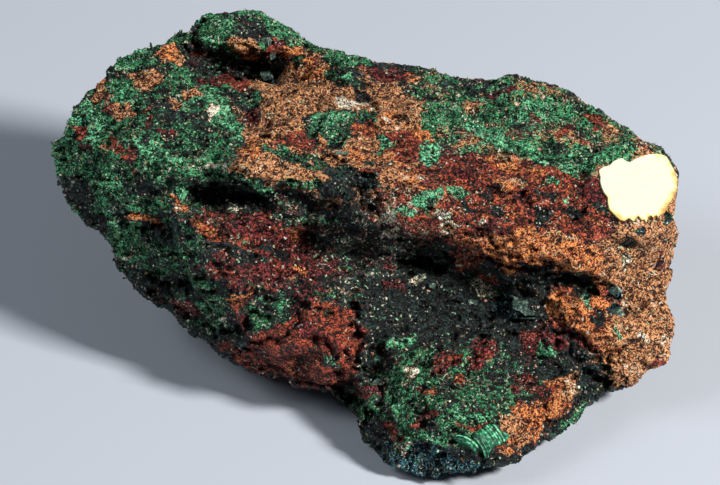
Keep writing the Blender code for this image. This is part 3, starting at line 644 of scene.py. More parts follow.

# %% [markdown]
# ## The ore's material
# One material shows all the minerals. For each one, a fractal noise is added to its painted share, and the mineral
# crops out where the sum passes a half, so its patches have ragged edges like real ones. Each mineral has its own run
# of colours, from near black to light. The noise is stretched along the ore's bedding, which dips a little to the
# right. The place in a run of colours comes from the ridges and cracks of the mesh, as painted highlight and painted
# shade, from small lumps and cells, and from fibres: the crust is cut into bundles, and each bundle's fine noise is
# stretched in a direction of its own. The lumps and fibres are the grains' own tone and also painted shade and
# highlight, since the same noise raises the bump. Gaps of painted shade between the grains lie over all of it. A loose
# crystal adds a random number from its own seed. The nodes are added and joined by a small class, which the
# scattering uses too.

# %% The minerals' colours
COLOURS = {
    "dark": [(0, 1, 2), (1, 2, 3), (3, 6, 8), (42, 60, 58)],
    "malachite": [(0, 9, 7), (2, 28, 18), (9, 64, 41), (74, 160, 106)],
    "bright": [(2, 32, 22), (6, 84, 55), (24, 144, 94), (136, 226, 168)],
    "tan": [(26, 10, 5), (84, 42, 23), (140, 80, 46), (226, 162, 110)],
    "rust": [(14, 3, 2), (52, 10, 7), (98, 28, 17), (192, 86, 56)],
    "orange": [(36, 9, 3), (114, 36, 12), (176, 72, 28), (246, 160, 92)],
    "cream": [(56, 40, 22), (164, 134, 92), (226, 208, 164), (255, 252, 236)],
    "wine": [(5, 1, 2), (22, 4, 7), (52, 12, 15), (146, 58, 56)],
    "slate": [(1, 3, 6), (2, 13, 20), (7, 32, 44), (64, 116, 128)],
}
LAYERS = ["wine", "rust", "tan", "orange", "slate", "malachite", "bright", "cream"]
GLOSS = {"dark": 0.5, "wine": 0.32, "rust": 0.6, "tan": 0.75, "orange": 0.7, "slate": 0.22, "malachite": 0.38,
         "bright": 0.4, "cream": 0.5}
print(len(COLOURS), "runs of colour")

# %% The ore's material
# How many grains of each noise or cell pattern lie along a metre.
WARP_PER_M = 700.0
MINERALS_PER_M = 400.0
BROAD_PER_M = 300.0
BUNDLES_PER_M = 300.0
GAP_SHADE_PER_M = 900.0
LUMPS_PER_M = 1500.0
FLECKS_PER_M = 2800.0
CELLS_PER_M = 3300.0
FIBRES_PER_M = 4200.0
# How a pattern is bent and stretched.
WARP_MM = 1.8
BED_TILT = (0.0, -0.17, 0.0)
BED_SHAPE = (0.42, 1.0, 1.0)
FIBRE_SHAPE = (1.0, 1.0, 0.22)
# How far each cause moves a place along its run of colours, and the places of the run's colours.
MIDDLE_SHADE = 0.42
GRAIN_GAIN = 3.6
LUMP_GAIN = 0.6
DRAW_GAIN = 2.2
BROAD_GAIN = 1.3
RELIEF_SHADING_GAIN = 0.9
RUN_STOPS = (0.05, 0.35, 0.66, 0.97)
# How ragged and how sharp a mineral's patches are, how often a bright fleck shows, and how wide the gaps of
# painted shade between the grains are.
OUTCROP_SPREAD = 2.8
OUTCROP_EDGE = 10.0
FLECK_SHARE = 0.065
FLECK_COLOURS = [(0.0, (236, 232, 206)), (0.3, (150, 214, 170)), (0.55, (196, 120, 66)), (0.8, (214, 206, 186))]
FLECK_COVER = 0.85
GAP_SHADE_LEVEL = 0.47
GAP_SHADE_CLAY = -0.13
GAP_SHADE_EDGE = 30.0
GAP_SHADE_COLOUR = (3, 4, 4)
GAP_SHADE_COVER = 0.97


class Graph:
    """A short way to add nodes to a tree and join them."""

    def __init__(self, tree):
        self.nodes, self.links = tree.nodes, tree.links

    def join(self, node, key, value):
        """Links a socket to an input, or sets the input to a plain value."""
        if isinstance(value, bpy.types.NodeSocket):
            self.links.new(value, node.inputs[key])
        else:
            node.inputs[key].default_value = value

    def add(self, kind, inputs=None, **settings):
        """Adds a node. Its settings come first, because its inputs depend on them."""
        node = self.nodes.new(kind)
        for key, value in settings.items():
            setattr(node, key, value)
        for key, value in (inputs or {}).items():
            self.join(node, key, value)
        return node

    def math(self, operation, first, second=0.0, third=0.0, clamp=False):
        node = self.add("ShaderNodeMath", {0: first, 1: second, 2: third}, operation=operation, use_clamp=clamp)
        return node.outputs[0]

    def attribute(self, name, output="Fac"):
        return self.add("ShaderNodeAttribute", attribute_name=name).outputs[output]

    def vector(self, operation, *values):
        return self.add("ShaderNodeVectorMath", dict(enumerate(values)), operation=operation).outputs[0]

    def mix(self, factor, below, above):
        """Mixes two colours."""
        return self.add("ShaderNodeMix", {0: factor, 6: below, 7: above}, data_type="RGBA").outputs[2]

    def blend(self, factor, below, above):
        """Mixes two plain numbers."""
        return self.add("ShaderNodeMix", {0: factor, 2: below, 3: above}).outputs[0]

    def noise(self, place, scale, detail, roughness=0.5, output=0):
        inputs = {"Vector": place, "Scale": scale, "Detail": detail, "Roughness": roughness}
        return self.add("ShaderNodeTexNoise", inputs).outputs[output]

    def bump(self, strength, rise_mm, height):
        """Shades the surface as if it rose with the height."""
        inputs = {"Strength": strength, "Distance": rise_mm * MM, "Height": height}
        self.join(self.shader, "Normal", self.add("ShaderNodeBump", inputs).outputs[0])

    def ramp(self, factor, stops):
        """A run of colours, each at its place from 0 to 1."""
        stops = list(stops)
        node = self.add("ShaderNodeValToRGB", {0: factor})
        elements = node.color_ramp.elements
        while len(elements) < len(stops):
            elements.new(0.5)
        for element, (position, value) in zip(elements, stops):
            element.position = position
            element.color = colour(*value)
        return node.outputs[0]


def material_graph(name):
    """A new material's node tree, which also knows the material and its shader."""
    material = bpy.data.materials.new(name)
    material.use_nodes = True
    g = Graph(material.node_tree)
    g.material, g.shader = material, g.nodes["Principled BSDF"]
    return g


def give(obj, material):
    """Makes a material the only one of a piece."""
    obj.data.materials.clear()
    obj.data.materials.append(material)


def dress(obj, g, tone, roughness, strength, rise_mm, height):
    """Joins a colour, a roughness and a bump to the shader, and gives the material to a piece."""
    g.join(g.shader, "Base Color", tone)
    g.join(g.shader, "Roughness", roughness)
    g.bump(strength, rise_mm, height)
    give(obj, g.material)


def parts_of(g, source):
    """The three parts of a colour output."""
    return list(g.add("ShaderNodeSeparateColor", {0: source}).outputs)[:3]


def mineral_graph(name, loose):
    """The ore's material. A loose crystal is lighter or darker by its own seed."""
    g = material_graph(name)
    place = g.add("ShaderNodeTexCoord").outputs["Object"]
    bent = g.vector("MULTIPLY_ADD", g.noise(place, WARP_PER_M, 2.0, output=1), (WARP_MM * MM,) * 3, place)
    laid = g.add("ShaderNodeVectorRotate", {"Vector": bent, "Rotation": BED_TILT}, rotation_type="EULER_XYZ")
    beds = g.add("ShaderNodeMapping", {"Vector": laid.outputs[0], "Scale": BED_SHAPE}).outputs[0]
    bundle = g.add("ShaderNodeTexVoronoi", {"Vector": bent, "Scale": BUNDLES_PER_M}).outputs["Color"]
    angles = g.add("ShaderNodeVectorMath", {0: bundle, 3: 2 * math.pi}, operation="SCALE").outputs[0]
    turned = g.add("ShaderNodeVectorRotate", {"Vector": place, "Rotation": angles}, rotation_type="EULER_XYZ")
    drawn = g.add("ShaderNodeMapping", {"Vector": turned.outputs[0], "Scale": FIBRE_SHAPE}).outputs[0]
    fibre = g.noise(drawn, FIBRES_PER_M, 2.0)
    fine = g.noise(place, FIBRES_PER_M, 3.0, 0.7)
    lumps = g.noise(bent, LUMPS_PER_M, 4.0, 0.6)
    if loose:
        own = g.add("ShaderNodeTexWhiteNoise", {"W": g.attribute("seed")}, noise_dimensions="1D")
        draw, speck = own.outputs["Value"], parts_of(g, own.outputs["Color"])
    else:
        specks = g.add("ShaderNodeTexVoronoi", {"Vector": bent, "Scale": FLECKS_PER_M})
        cells = g.add("ShaderNodeTexVoronoi", {"Vector": bent, "Scale": CELLS_PER_M})
        draw, speck = parts_of(g, cells.outputs["Color"])[0], parts_of(g, specks.outputs["Color"])

    share = {}
    for layer, names in (("ore_a", MINERALS[:4]), ("ore_b", MINERALS[4:])):
        painted = g.add("ShaderNodeAttribute", attribute_name=layer)
        share.update(zip(names, parts_of(g, painted.outputs["Color"]) + [painted.outputs["Alpha"]]))

    streak = g.math("ADD", g.math("MULTIPLY", share["malachite"], 1.4), 0.15, clamp=True)
    grain = g.blend(streak, fine, fibre)
    broad = g.noise(beds, BROAD_PER_M, 4.0, 0.6)
    # The fibre and lump noise also raises the bump, so this is the grains' own tone and also painted shade where the
    # bump sinks and a painted highlight where it rises.
    shade = g.math("MULTIPLY_ADD", grain, GRAIN_GAIN, MIDDLE_SHADE - GRAIN_GAIN / 2)
    causes = ((lumps, LUMP_GAIN), (draw, DRAW_GAIN), (broad, BROAD_GAIN), (g.attribute("relief_shading"), RELIEF_SHADING_GAIN))
    for cause, gain in causes:
        shade = g.math("ADD", shade, g.math("MULTIPLY_ADD", cause, gain, -gain / 2))

    def run(mineral):
        return g.ramp(shade, zip(RUN_STOPS, COLOURS[mineral]))

    fields = []
    for number in range(3):
        inputs = {"Vector": beds, "W": number * 5.0, "Scale": MINERALS_PER_M, "Detail": 7.0, "Roughness": 0.8}
        wide = g.add("ShaderNodeTexNoise", inputs, noise_dimensions="4D")
        fields += parts_of(g, wide.outputs["Color"])
    tone, rough = run("dark"), GLOSS["dark"]
    for mineral, field in zip(LAYERS, fields):
        score = g.math("ADD", share[mineral], g.math("MULTIPLY_ADD", field, OUTCROP_SPREAD, -OUTCROP_SPREAD / 2))
        taken = g.math("MULTIPLY_ADD", score, OUTCROP_EDGE, 0.5 - OUTCROP_EDGE / 2, clamp=True)
        taken = g.math("MULTIPLY", taken, g.math("MULTIPLY", share[mineral], 20.0, clamp=True))
        tone = g.mix(taken, tone, run(mineral))
        rough = g.blend(taken, rough, GLOSS[mineral])

    bearing = g.math("ADD", share["malachite"], g.math("ADD", share["bright"], share["cream"]))
    often = g.math("MULTIPLY", g.math("ADD", bearing, 0.16, clamp=True), FLECK_SHARE)
    fleck = g.math("GREATER_THAN", g.math("ADD", speck[1], often), 1.0)
    # Gaps of painted shade: a noise network painted near black between the grains, and sunk in the bump too.
    level = g.math("MULTIPLY_ADD", share["tan"], GAP_SHADE_CLAY, GAP_SHADE_LEVEL)
    gap_shade = g.math("SUBTRACT", level, g.noise(beds, GAP_SHADE_PER_M, 6.0, 0.8))
    gap_shade = g.math("MULTIPLY", gap_shade, GAP_SHADE_EDGE, clamp=True)
    tone = g.mix(g.math("MULTIPLY", gap_shade, GAP_SHADE_COVER), tone, colour(*GAP_SHADE_COLOUR))
    tone = g.mix(g.math("MULTIPLY", fleck, FLECK_COVER), tone, g.ramp(speck[2], FLECK_COLOURS))
    g.join(g.shader, "Base Color", tone)
    g.join(g.shader, "Roughness", rough)
    g.join(g.shader, "Specular IOR Level", 0.35)
    if not loose:
        height = g.math("ADD", g.math("MULTIPLY", cells.outputs["Distance"], -0.6), g.math("MULTIPLY", grain, 1.3))
        height = g.math("ADD", height, g.math("MULTIPLY", lumps, 0.8))
        g.bump(1.0, 0.4, g.math("SUBTRACT", height, gap_shade))
    return g.material


ore_material = mineral_graph("ore", False)
grain_material = mineral_graph("loose grains of ore", True)
give(skin, ore_material)
only(skin)
bpy.ops.object.shade_smooth()
print("the ore has", len(ore_material.node_tree.nodes), "nodes")

# %% [markdown]
# ## Grains and crystals
# Under a lens the crust is thousands of separate grains: blunt malachite crystals, fibres and small cubes. They
# can't be placed one by one, so one crystal is modelled, and Geometry Nodes strew copies of it over the skin, turn
# and scale each at random, and make them real. Each copy keeps the mineral shares of its place and gets a seed.

# %% One crystal of each form
def keep_aside(obj):
    """Takes a model crystal out of the scene. The scattering still reads it."""
    for collection in list(obj.users_collection):
        collection.objects.unlink(obj)
    return obj


bpy.ops.object.select_all(action="DESELECT")
bpy.ops.mesh.primitive_cone_add(vertices=4, radius1=0.5, radius2=0.0, depth=0.5, end_fill_type="NOTHING",
                                location=(0, 0, 0.25))
blunt = named("blunt crystal")
bpy.ops.object.transform_apply(location=True, rotation=False, scale=False)
bpy.ops.object.mode_set(mode="EDIT")
bpy.ops.mesh.select_all(action="SELECT")
bpy.ops.mesh.duplicate()
bpy.ops.transform.resize(value=(1, 1, -1), center_override=(0, 0, 0))
bpy.ops.mesh.select_all(action="SELECT")
bpy.ops.mesh.remove_doubles(threshold=0.001)
bpy.ops.transform.vertex_random(offset=0.14, seed=4)
bpy.ops.mesh.normals_make_consistent(inside=False)
bpy.ops.object.mode_set(mode="OBJECT")
keep_aside(blunt)

bpy.ops.mesh.primitive_cone_add(vertices=4, radius1=0.11, radius2=0.0, depth=1.0, location=(0, 0, 0.35))
needle = named("needle")
bpy.ops.object.transform_apply(location=True, rotation=False, scale=False)
keep_aside(needle)

bpy.ops.mesh.primitive_cube_add(size=0.8)
cube = named("small cube")
bpy.ops.object.mode_set(mode="EDIT")
bpy.ops.mesh.select_all(action="SELECT")
bpy.ops.transform.vertex_random(offset=0.05, seed=9)
bpy.ops.object.mode_set(mode="OBJECT")
keep_aside(cube)
print("the model crystals have", [triangles(obj) for obj in (blunt, needle, cube)], "triangles")

# %% Where the crystals may lie
def clumps(points, size_mm, least):
    """A patchy share from 0 to 1: full in some places, none in others."""
    field = np.array([noise.noise(Vector(point) / size_mm) for point in points])
    return np.clip(0.5 + 2.2 * field - least, 0.0, 1.0)


CLEAR_OF_BOX_M = 0.0007
CLEAR_OF_FLOOR_M = 0.0015
CLEAR_OF_LABEL_MM = 8.4
LABEL_STRETCH = 1.12
inside = np.minimum(points - low, high - points).min(axis=1)
clear = (inside > CLEAR_OF_BOX_M) & (points[:, 2] > CLEAR_OF_FLOOR_M)
flat = on_plane(points)
from_label = np.hypot((flat[:, 0] - LABEL_MIDDLE[0]) / LABEL_STRETCH, flat[:, 1] - LABEL_MIDDLE[1])
off_label = from_label > CLEAR_OF_LABEL_MM
open_ground = (clear & (off_label | (seen < 0.4))).astype(float)
green = np.clip(shares[:, 0] + shares[:, 1] * 0.5, 0.0, 1.0)
clay = np.clip(shares[:, 2] + shares[:, 3] * 0.5 + shares[:, 4] * 0.5 - 0.3, 0.0, 1.0)
night = np.clip(0.9 - shares[:, :5].sum(axis=1), 0.0, 1.0)
sides = open_ground * (0.5 + 0.5 * seen)
lump = brush(flat[:, 0], flat[:, 1], RED_LUMP) * seen
sides = sides * (1.0 - 0.85 * lump)
add_value(skin.data, "room", sides * (1.0 - 0.85 * clay) * clumps(flat, 3.2, 0.1))
add_value(skin.data, "room_seen", sides * seen * (1.0 - 0.5 * clay) * clumps(flat, 1.9, 0.25))
add_value(skin.data, "room_needles", sides * np.clip(green - 0.15, 0.0, 1.0) * clumps(flat, 2.6, 0.0))
add_value(skin.data, "room_night", sides * (night + 0.05) * clumps(flat, 2.2, 0.2))
print("crystals may lie on", int(open_ground.sum()), "of", len(points), "points")

# %% The scattering
COMB_PER_M = 260.0


def scatter(name, crystal, room, per_m2, seed, size_mm, lean, comb, sink_mm):
    """Strews copies of a crystal over the skin by Geometry Nodes, and makes them one real mesh.

    Each copy leans at random, and neighbours lean together by the comb, as fibres in one bundle do.
    """
    tree = bpy.data.node_groups.new(name, "GeometryNodeTree")
    for way in ("INPUT", "OUTPUT"):
        tree.interface.new_socket("Geometry", in_out=way, socket_type="NodeSocketGeometry")
    g = Graph(tree)

    def chance(kind, lowest, highest, number):
        """A random number or vector for each copy."""
        first = 0 if kind == "FLOAT_VECTOR" else 2
        inputs = {first: lowest, first + 1: highest, "Seed": seed * 10 + number}
        return g.add("FunctionNodeRandomValue", inputs, data_type=kind).outputs[first // 2]

    ground = g.add("NodeGroupInput").outputs[0]
    room_here = g.add("GeometryNodeInputNamedAttribute", {"Name": room}, data_type="FLOAT").outputs[0]
    inputs = {"Mesh": ground, "Density": g.math("MULTIPLY", room_here, per_m2), "Seed": seed}
    strewn = g.add("GeometryNodeDistributePointsOnFaces", inputs).outputs
    model = g.add("GeometryNodeObjectInfo", {"Object": crystal}).outputs["Geometry"]
    any_way = chance("FLOAT_VECTOR", (-1, -1, -1), (1, 1, 1), 1)
    leaning = g.vector("MULTIPLY_ADD", any_way, (lean,) * 3, strewn["Normal"])
    drift = g.add("ShaderNodeTexNoise", {"Scale": COMB_PER_M, "Detail": 1.0}).outputs["Color"]
    combed = g.vector("MULTIPLY_ADD", g.vector("SUBTRACT", drift, (0.5, 0.5, 0.5)), (comb,) * 3, leaning)
    aligned = g.add("FunctionNodeAlignRotationToVector", {"Vector": combed}, axis="Z").outputs[0]
    turn = g.add("ShaderNodeCombineXYZ", {2: chance("FLOAT", 0.0, 2 * math.pi, 2)}).outputs[0]
    spun = g.add("FunctionNodeRotateRotation", {0: aligned, 1: turn}, rotation_space="LOCAL").outputs[0]
    smallest, largest = ([value * MM for value in size] for size in size_mm)
    size = chance("FLOAT_VECTOR", smallest, largest, 3)
    inputs = {"Points": strewn["Points"], "Instance": model, "Rotation": spun, "Scale": size}
    copies = g.add("GeometryNodeInstanceOnPoints", inputs).outputs[0]
    inputs = {"Instances": copies, "Translation": (0, 0, -sink_mm * MM)}
    sunk = g.add("GeometryNodeTranslateInstances", inputs).outputs[0]
    inputs = {"Geometry": sunk, "Name": "seed", "Value": chance("FLOAT", 0.0, 100.0, 4)}
    marked = g.add("GeometryNodeStoreNamedAttribute", inputs, data_type="FLOAT", domain="INSTANCE").outputs[0]
    real = g.add("GeometryNodeRealizeInstances", {0: marked}).outputs[0]
    g.add("NodeGroupOutput", {0: real})

    piece = skin.copy()
    piece.data = skin.data.copy()
    piece.name = name
    bpy.context.scene.collection.objects.link(piece)
    piece.modifiers.new(name, "NODES").node_group = tree
    finish_modifiers(piece)
    piece.data.name = name
    give(piece, grain_material)
    keep_inside(piece)
    for face in piece.data.polygons:
        face.use_smooth = False
    print(name, "has", triangles(piece), "triangles")
    return piece


grains = scatter("crust_grains", blunt, "room", 1.3e6, 3, ((0.26, 0.26, 0.22), (0.72, 0.6, 0.5)), 0.9, 0.0, 0.08)
specks = scatter("fine_grains", blunt, "room_seen", 2.3e6, 5, ((0.2, 0.2, 0.18), (0.46, 0.4, 0.4)), 0.9, 0.0, 0.04)
needles = scatter("needles", needle, "room_needles", 7.0e6, 7, ((0.6, 0.6, 0.3), (1.0, 1.0, 0.8)), 0.9, 12.0, 0.08)
cubes = scatter("dark_cubes", cube, "room_night", 2.4e6, 11, ((0.25, 0.25, 0.2), (0.85, 0.75, 0.65)), 0.9, 0.0, 0.08)

# %% [markdown]
# ## The label patch
# A collector brushes a blob of cream paint on a rock as a ground for its label. Here it is bare. The paint takes the
# form of the rock under it and thins out in drips at its lower edge. A Shrinkwrap modifier could lay it on, but the
# patch reaches round the rock's edge, where some points would miss. So a flat disc is drawn with the patch's outline,
# each of its points is laid on the rock by a ray along the line of sight, and Solidify gives it its thickness.

# %% The label patch
PATCH_OUTLINE = [
    (46.3, 14.1), (47.2, 14.7), (48.4, 14.9), (49.2, 15.8), (50.4, 16.4), (51.2, 16.5), (52.0, 15.8), (52.8, 15.7),
    (53.9, 16.4), (55.3, 16.9), (56.9, 17.4), (58.5, 17.5), (59.7, 17.3), (60.6, 16.8), (61.3, 15.6), (61.8, 14.6),
    (62.5, 13.3), (62.8, 12.0), (62.7, 10.6), (62.4, 9.3), (61.8, 8.2), (61.0, 7.0), (60.5, 6.1), (59.9, 5.0),
    (59.1, 4.6), (58.5, 4.1), (58.2, 4.6), (57.5, 3.9), (57.1, 4.5), (56.5, 4.1), (56.1, 2.9), (55.7, 3.6),
    (55.1, 3.5), (54.4, 4.4), (54.0, 3.9), (53.4, 3.2), (52.4, 3.9), (51.5, 3.3), (50.6, 3.5), (49.8, 4.2),
    (49.0, 5.0), (48.3, 5.8), (48.0, 7.1), (48.0, 8.3), (47.2, 9.3), (46.7, 10.4), (46.4, 11.7), (46.5, 12.5),
    (46.2, 13.6),
]
PATCH_CUTS = 5
PATCH_SPOKES = 220
PAINT_MM = 0.34
PAINT_LIFT_MM = 0.16


def ring_reach(outline, middle, turns):
    """How far an outline's straight sides lie from its middle in each direction."""
    corners = np.array(outline) - middle
    reach = np.full(len(turns), np.inf)
    ray_x, ray_y = np.cos(turns), np.sin(turns)
    for (ax, ay), (bx, by) in zip(corners, np.roll(corners, -1, axis=0)):
        side_x, side_y = bx - ax, by - ay
        cross = ray_x * side_y - ray_y * side_x
        cross = np.where(np.abs(cross) < 1e-9, 1e-9, cross)
        distance = (ax * side_y - ay * side_x) / cross
        along = (ax * ray_y - ay * ray_x) / cross
        met = (distance > 0) & (along >= -1e-6) & (along <= 1 + 1e-6)
        reach = np.where(met, np.minimum(reach, distance), reach)
    return reach


def blob(name, outline, middle, spokes, cuts):
    """A flat disc with the given outline, far in front of the rock, and each point's place in the plane."""
    bpy.ops.object.select_all(action="DESELECT")
    bpy.ops.mesh.primitive_circle_add(vertices=spokes, radius=1.0, fill_type="TRIFAN")
    disc = named(name)
    bpy.ops.object.mode_set(mode="EDIT")
    bpy.ops.mesh.select_all(action="SELECT")
    bpy.ops.mesh.subdivide(number_cuts=cuts)
    bpy.ops.object.mode_set(mode="OBJECT")
    unit = places(disc.data)
    reach = ring_reach(outline, middle, np.arctan2(unit[:, 1], unit[:, 0]))
    x = middle[0] + unit[:, 0] * reach
    y = middle[1] + unit[:, 1] * reach
    return disc, np.stack([x, y, np.zeros(len(x))], axis=1), np.hypot(unit[:, 0], unit[:, 1])


patch, outline_places, _ = blob("label_paint", PATCH_OUTLINE, LABEL_MIDDLE, PATCH_SPOKES, PATCH_CUTS)
print("the patch is", np.ptp(outline_places, axis=0)[:2].round(1), "mm")

# %% Lay the patch on the rock
ground = BVHTree.FromPolygons(
    [tuple(point) for point in places(skin.data)], [tuple(face.vertices) for face in skin.data.polygons]
)


def ground_depth(x, y):
    """The rock's depth at a place of the plane, in millimetres, and its normal there."""
    start = PLANE @ Vector((x, y, 60.0))
    hit, normal, _, distance = ground.ray_cast(start, -TOWARDS_EYE)
    return (60.0 - distance / MM, normal) if hit else (None, None)


def ground_under(x, y, middle, spread):
    """The mean and the highest depth near a place. A place off the rock's edge is drawn in until it is on it."""
    near = []
    while not near:
        spots = [(x, y), (x + spread, y), (x - spread, y), (x, y + spread), (x, y - spread)]
        near = [ground_depth(*spot)[0] for spot in spots]
        near = [depth for depth in near if depth is not None]
        if not near:
            x, y = x + 0.05 * (middle[0] - x), y + 0.05 * (middle[1] - y)
    return x, y, sum(near) / len(near), max(near)


laid = outline_places.copy()
for index, (x, y, _) in enumerate(outline_places):
    x, y, mean_depth, top_depth = ground_under(x, y, LABEL_MIDDLE, 0.5)
    laid[index] = (x, y, (mean_depth + top_depth) / 2 + PAINT_LIFT_MM)
set_places(patch.data, laid)
patch.data.transform(PLANE)
smooth = patch.modifiers.new("levelled paint", "SMOOTH")
smooth.factor = 0.5
smooth.iterations = 3
thicken(patch, PAINT_MM, 1.0)
keep_inside(finish_modifiers(patch))
only(patch)
bpy.ops.object.shade_smooth_by_angle(angle=math.radians(50))
print("the patch has", triangles(patch), "triangles")

# %% The paint
RIM_START = 0.62
around = on_plane(places(patch.data))
offset = around[:, :2] - np.array(LABEL_MIDDLE)
edge = np.hypot(*offset.T) / ring_reach(PATCH_OUTLINE, LABEL_MIDDLE, np.arctan2(offset[:, 1], offset[:, 0]))
lower_right = np.clip(0.35 - 0.05 * offset[:, 1] + 0.03 * offset[:, 0], 0.0, 1.0)
add_value(patch.data, "rim", np.clip((edge - RIM_START) / 0.38, 0.0, 1.0) * (0.4 + lower_right))
g = material_graph("label paint")
place = g.add("ShaderNodeTexCoord").outputs["Object"]
stained = g.math("ADD", g.attribute("rim"), g.math("MULTIPLY_ADD", g.noise(place, 420.0, 4.0), 1.1, -0.62))
yellow = g.ramp(stained, [(0.34, (206, 204, 176)), (0.58, (204, 190, 126)), (0.9, (176, 134, 66))])
dress(patch, g, yellow, 0.55, 0.6, 0.4, g.noise(place, 700.0, 4.0))
print("the paint runs from cream to yellow")

# %% [markdown]
# ## The banded fan
# On the tongue lies one fan of bright malachite, which grew as curved layers round a centre. Its two lobes are discs
# with the fan's outline, laid on the rock, domed and ribbed: the ribs are rings round the centre of growth. A voxel
# remesh makes the two lobes one solid.

# %% The banded fan
GROWTH_CENTRE = (18.0, -44.0)
RIB_MM = 0.62
RIB_HEIGHT_MM = 0.22
DOME_MM = 0.8
LOBE_LIFT_MM = 0.5
LOBE_MM = 1.5
FAN_VOXEL_MM = 0.16
FAN_LOBES = [
    ((20.4, -39.9), [
        (17.6, -39.0), (18.6, -38.5), (19.6, -38.5), (20.6, -38.9), (21.6, -39.7), (22.4, -41.0), (22.0, -42.8),
        (21.2, -41.6), (20.4, -40.9), (19.2, -40.4), (17.8, -39.8),
    ]),
    ((24.8, -39.3), [
        (23.9, -43.6), (22.9, -41.4), (21.9, -39.8), (21.3, -38.5), (22.2, -38.0), (23.1, -37.5), (23.7, -36.8),
        (25.1, -36.4), (26.1, -36.8), (27.0, -37.8), (28.8, -38.7), (28.7, -39.5), (27.1, -40.6), (25.7, -41.1),
        (25.0, -41.8), (24.5, -43.3),
    ]),
]
lobes = []
for number, (middle, outline) in enumerate(FAN_LOBES):
    lobe, spots, share_out = blob(f"lobe {number}", outline, middle, 48, 7)
    for index, (x, y, _) in enumerate(spots):
        x, y, mean_depth, _ = ground_under(x, y, middle, 1.1)
        rib = math.hypot(x - GROWTH_CENTRE[0], y - GROWTH_CENTRE[1]) / RIB_MM
        dome = DOME_MM * math.sqrt(max(0.0, 1.0 - share_out[index] ** 2))
        spots[index] = (x, y, mean_depth + (LOBE_LIFT_MM + dome + RIB_HEIGHT_MM * (rib % 1.0)))
    set_places(lobe.data, spots)
    lobe.data.transform(PLANE)
    thicken(lobe, LOBE_MM, -1.0)
    lobes.append(finish_modifiers(lobe))
for lobe in lobes:
    lobe.select_set(True)
bpy.ops.object.join()
fan = named("bright_fan")
voxel_remesh(fan, FAN_VOXEL_MM)
keep_inside(finish_modifiers(fan))
print("the fan has", triangles(fan), "triangles")

# %% The fan's material
def rings_of(mesh, centre):
    """How far each point lies from the centre of growth, in millimetres."""
    spots = on_plane(places(mesh))
    return np.hypot(spots[:, 0] - centre[0], spots[:, 1] - centre[1])


add_value(fan.data, "ring", rings_of(fan.data, GROWTH_CENTRE))
g = material_graph("banded malachite")
place = g.add("ShaderNodeTexCoord").outputs["Object"]
inputs = {"W": g.math("MULTIPLY", g.attribute("ring"), 2.6), "Scale": 1.0, "Detail": 3.0}
strands = g.add("ShaderNodeTexNoise", inputs, noise_dimensions="1D").outputs[0]
mottle = g.math("MULTIPLY_ADD", g.noise(place, 1500.0, 4.0), 1.8, -0.38)
mixed = g.math("ADD", g.math("MULTIPLY_ADD", strands, 1.7, -0.85), mottle)
green = g.ramp(mixed, [(0.1, (1, 20, 14)), (0.42, (3, 70, 46)), (0.68, (16, 122, 80)), (0.99, (140, 222, 174))])
dress(fan, g, green, 0.42, 0.7, 0.3, mixed)
only(fan)
bpy.ops.object.shade_smooth()
print("the fan's rings lie", rings_of(fan.data, GROWTH_CENTRE).min().round(1), "mm and more from their centre")

# %% [markdown]
# ## The flat crystals
# A few larger crystals show flat faces in the dark ore: a grey cleavage plate, thin blades and slate-green slabs. Each
# is a filled circle with one point for each of the crystal's corners, tilted a little, thickened by Solidify and
# bevelled, so that its edges catch the light.

# %% The flat crystals
# The middle, the outline round it, the rise over the ground, the slope to the right and up, and the thickness.
FLAT_CRYSTALS = [
    ((31.2, -13.2), [(29.4, -12.3), (32.2, -12.2), (32.6, -12.6), (32.4, -13.6), (31.2, -14.4), (29.5, -13.8)],
     1.1, (0.1, 0.2), 1.8),
    ((32.7, -14.4), [(31.6, -13.6), (32.6, -13.6), (34.2, -15.1), (31.9, -15.1), (31.0, -14.3)],
     1.0, (-0.2, 0.3), 1.6),
    ((32.5, -15.6), [(30.9, -15.5), (34.1, -15.5), (34.1, -15.8), (30.9, -15.8)], 1.2, (0.0, 0.1), 1.4),
    ((30.1, -11.6), [(29.6, -11.2), (30.5, -11.3), (30.6, -11.9), (29.7, -12.0)], 0.8, (0.3, -0.2), 1.0),
    ((49.8, -10.2), [(48.3, -9.6), (50.4, -9.3), (51.4, -10.4), (49.6, -11.0), (48.4, -10.6)], 0.5, (0.2, 0.3), 1.0),
    ((50.2, -14.6), [(48.6, -14.0), (51.2, -13.6), (51.9, -15.0), (49.8, -15.7)], 0.5, (-0.2, 0.3), 1.0),
    ((-19.8, 32.8), [(-21.2, 33.4), (-19.0, 33.4), (-18.4, 32.6), (-20.4, 32.0)], 1.6, (0.1, 0.5), 1.4),
    ((-20.2, 39.6), [(-20.9, 40.6), (-19.6, 40.8), (-19.3, 39.0), (-20.6, 38.4)], 0.5, (0.6, 0.1), 1.0),
    ((-18.6, 37.6), [(-19.3, 38.8), (-18.0, 38.6), (-17.9, 36.6), (-19.0, 36.2)], 0.6, (-0.4, 0.2), 1.0),
    ((-4.6, 17.2), [(-6.0, 17.6), (-3.4, 17.4), (-3.2, 17.0), (-5.8, 17.0)], 0.5, (0.1, 0.3), 0.8),
    ((0.8, 15.2), [(-0.2, 15.8), (1.8, 15.4), (1.9, 14.9), (0.0, 14.8)], 0.5, (0.2, 0.2), 0.8),
    ((13.4, -9.2), [(12.6, -8.6), (14.2, -8.8), (14.0, -9.8), (12.8, -9.6)], 0.5, (0.2, 0.3), 1.0),
    ((21.6, -12.6), [(20.6, -12.2), (22.6, -12.2), (22.4, -13.1), (20.9, -13.0)], 0.5, (-0.2, 0.4), 0.8),
    ((2.2, -28.4), [(0.9, -28.9), (2.4, -27.7), (3.5, -28.0), (2.2, -29.2)], 0.5, (0.1, 0.3), 1.0),
]
slabs = []
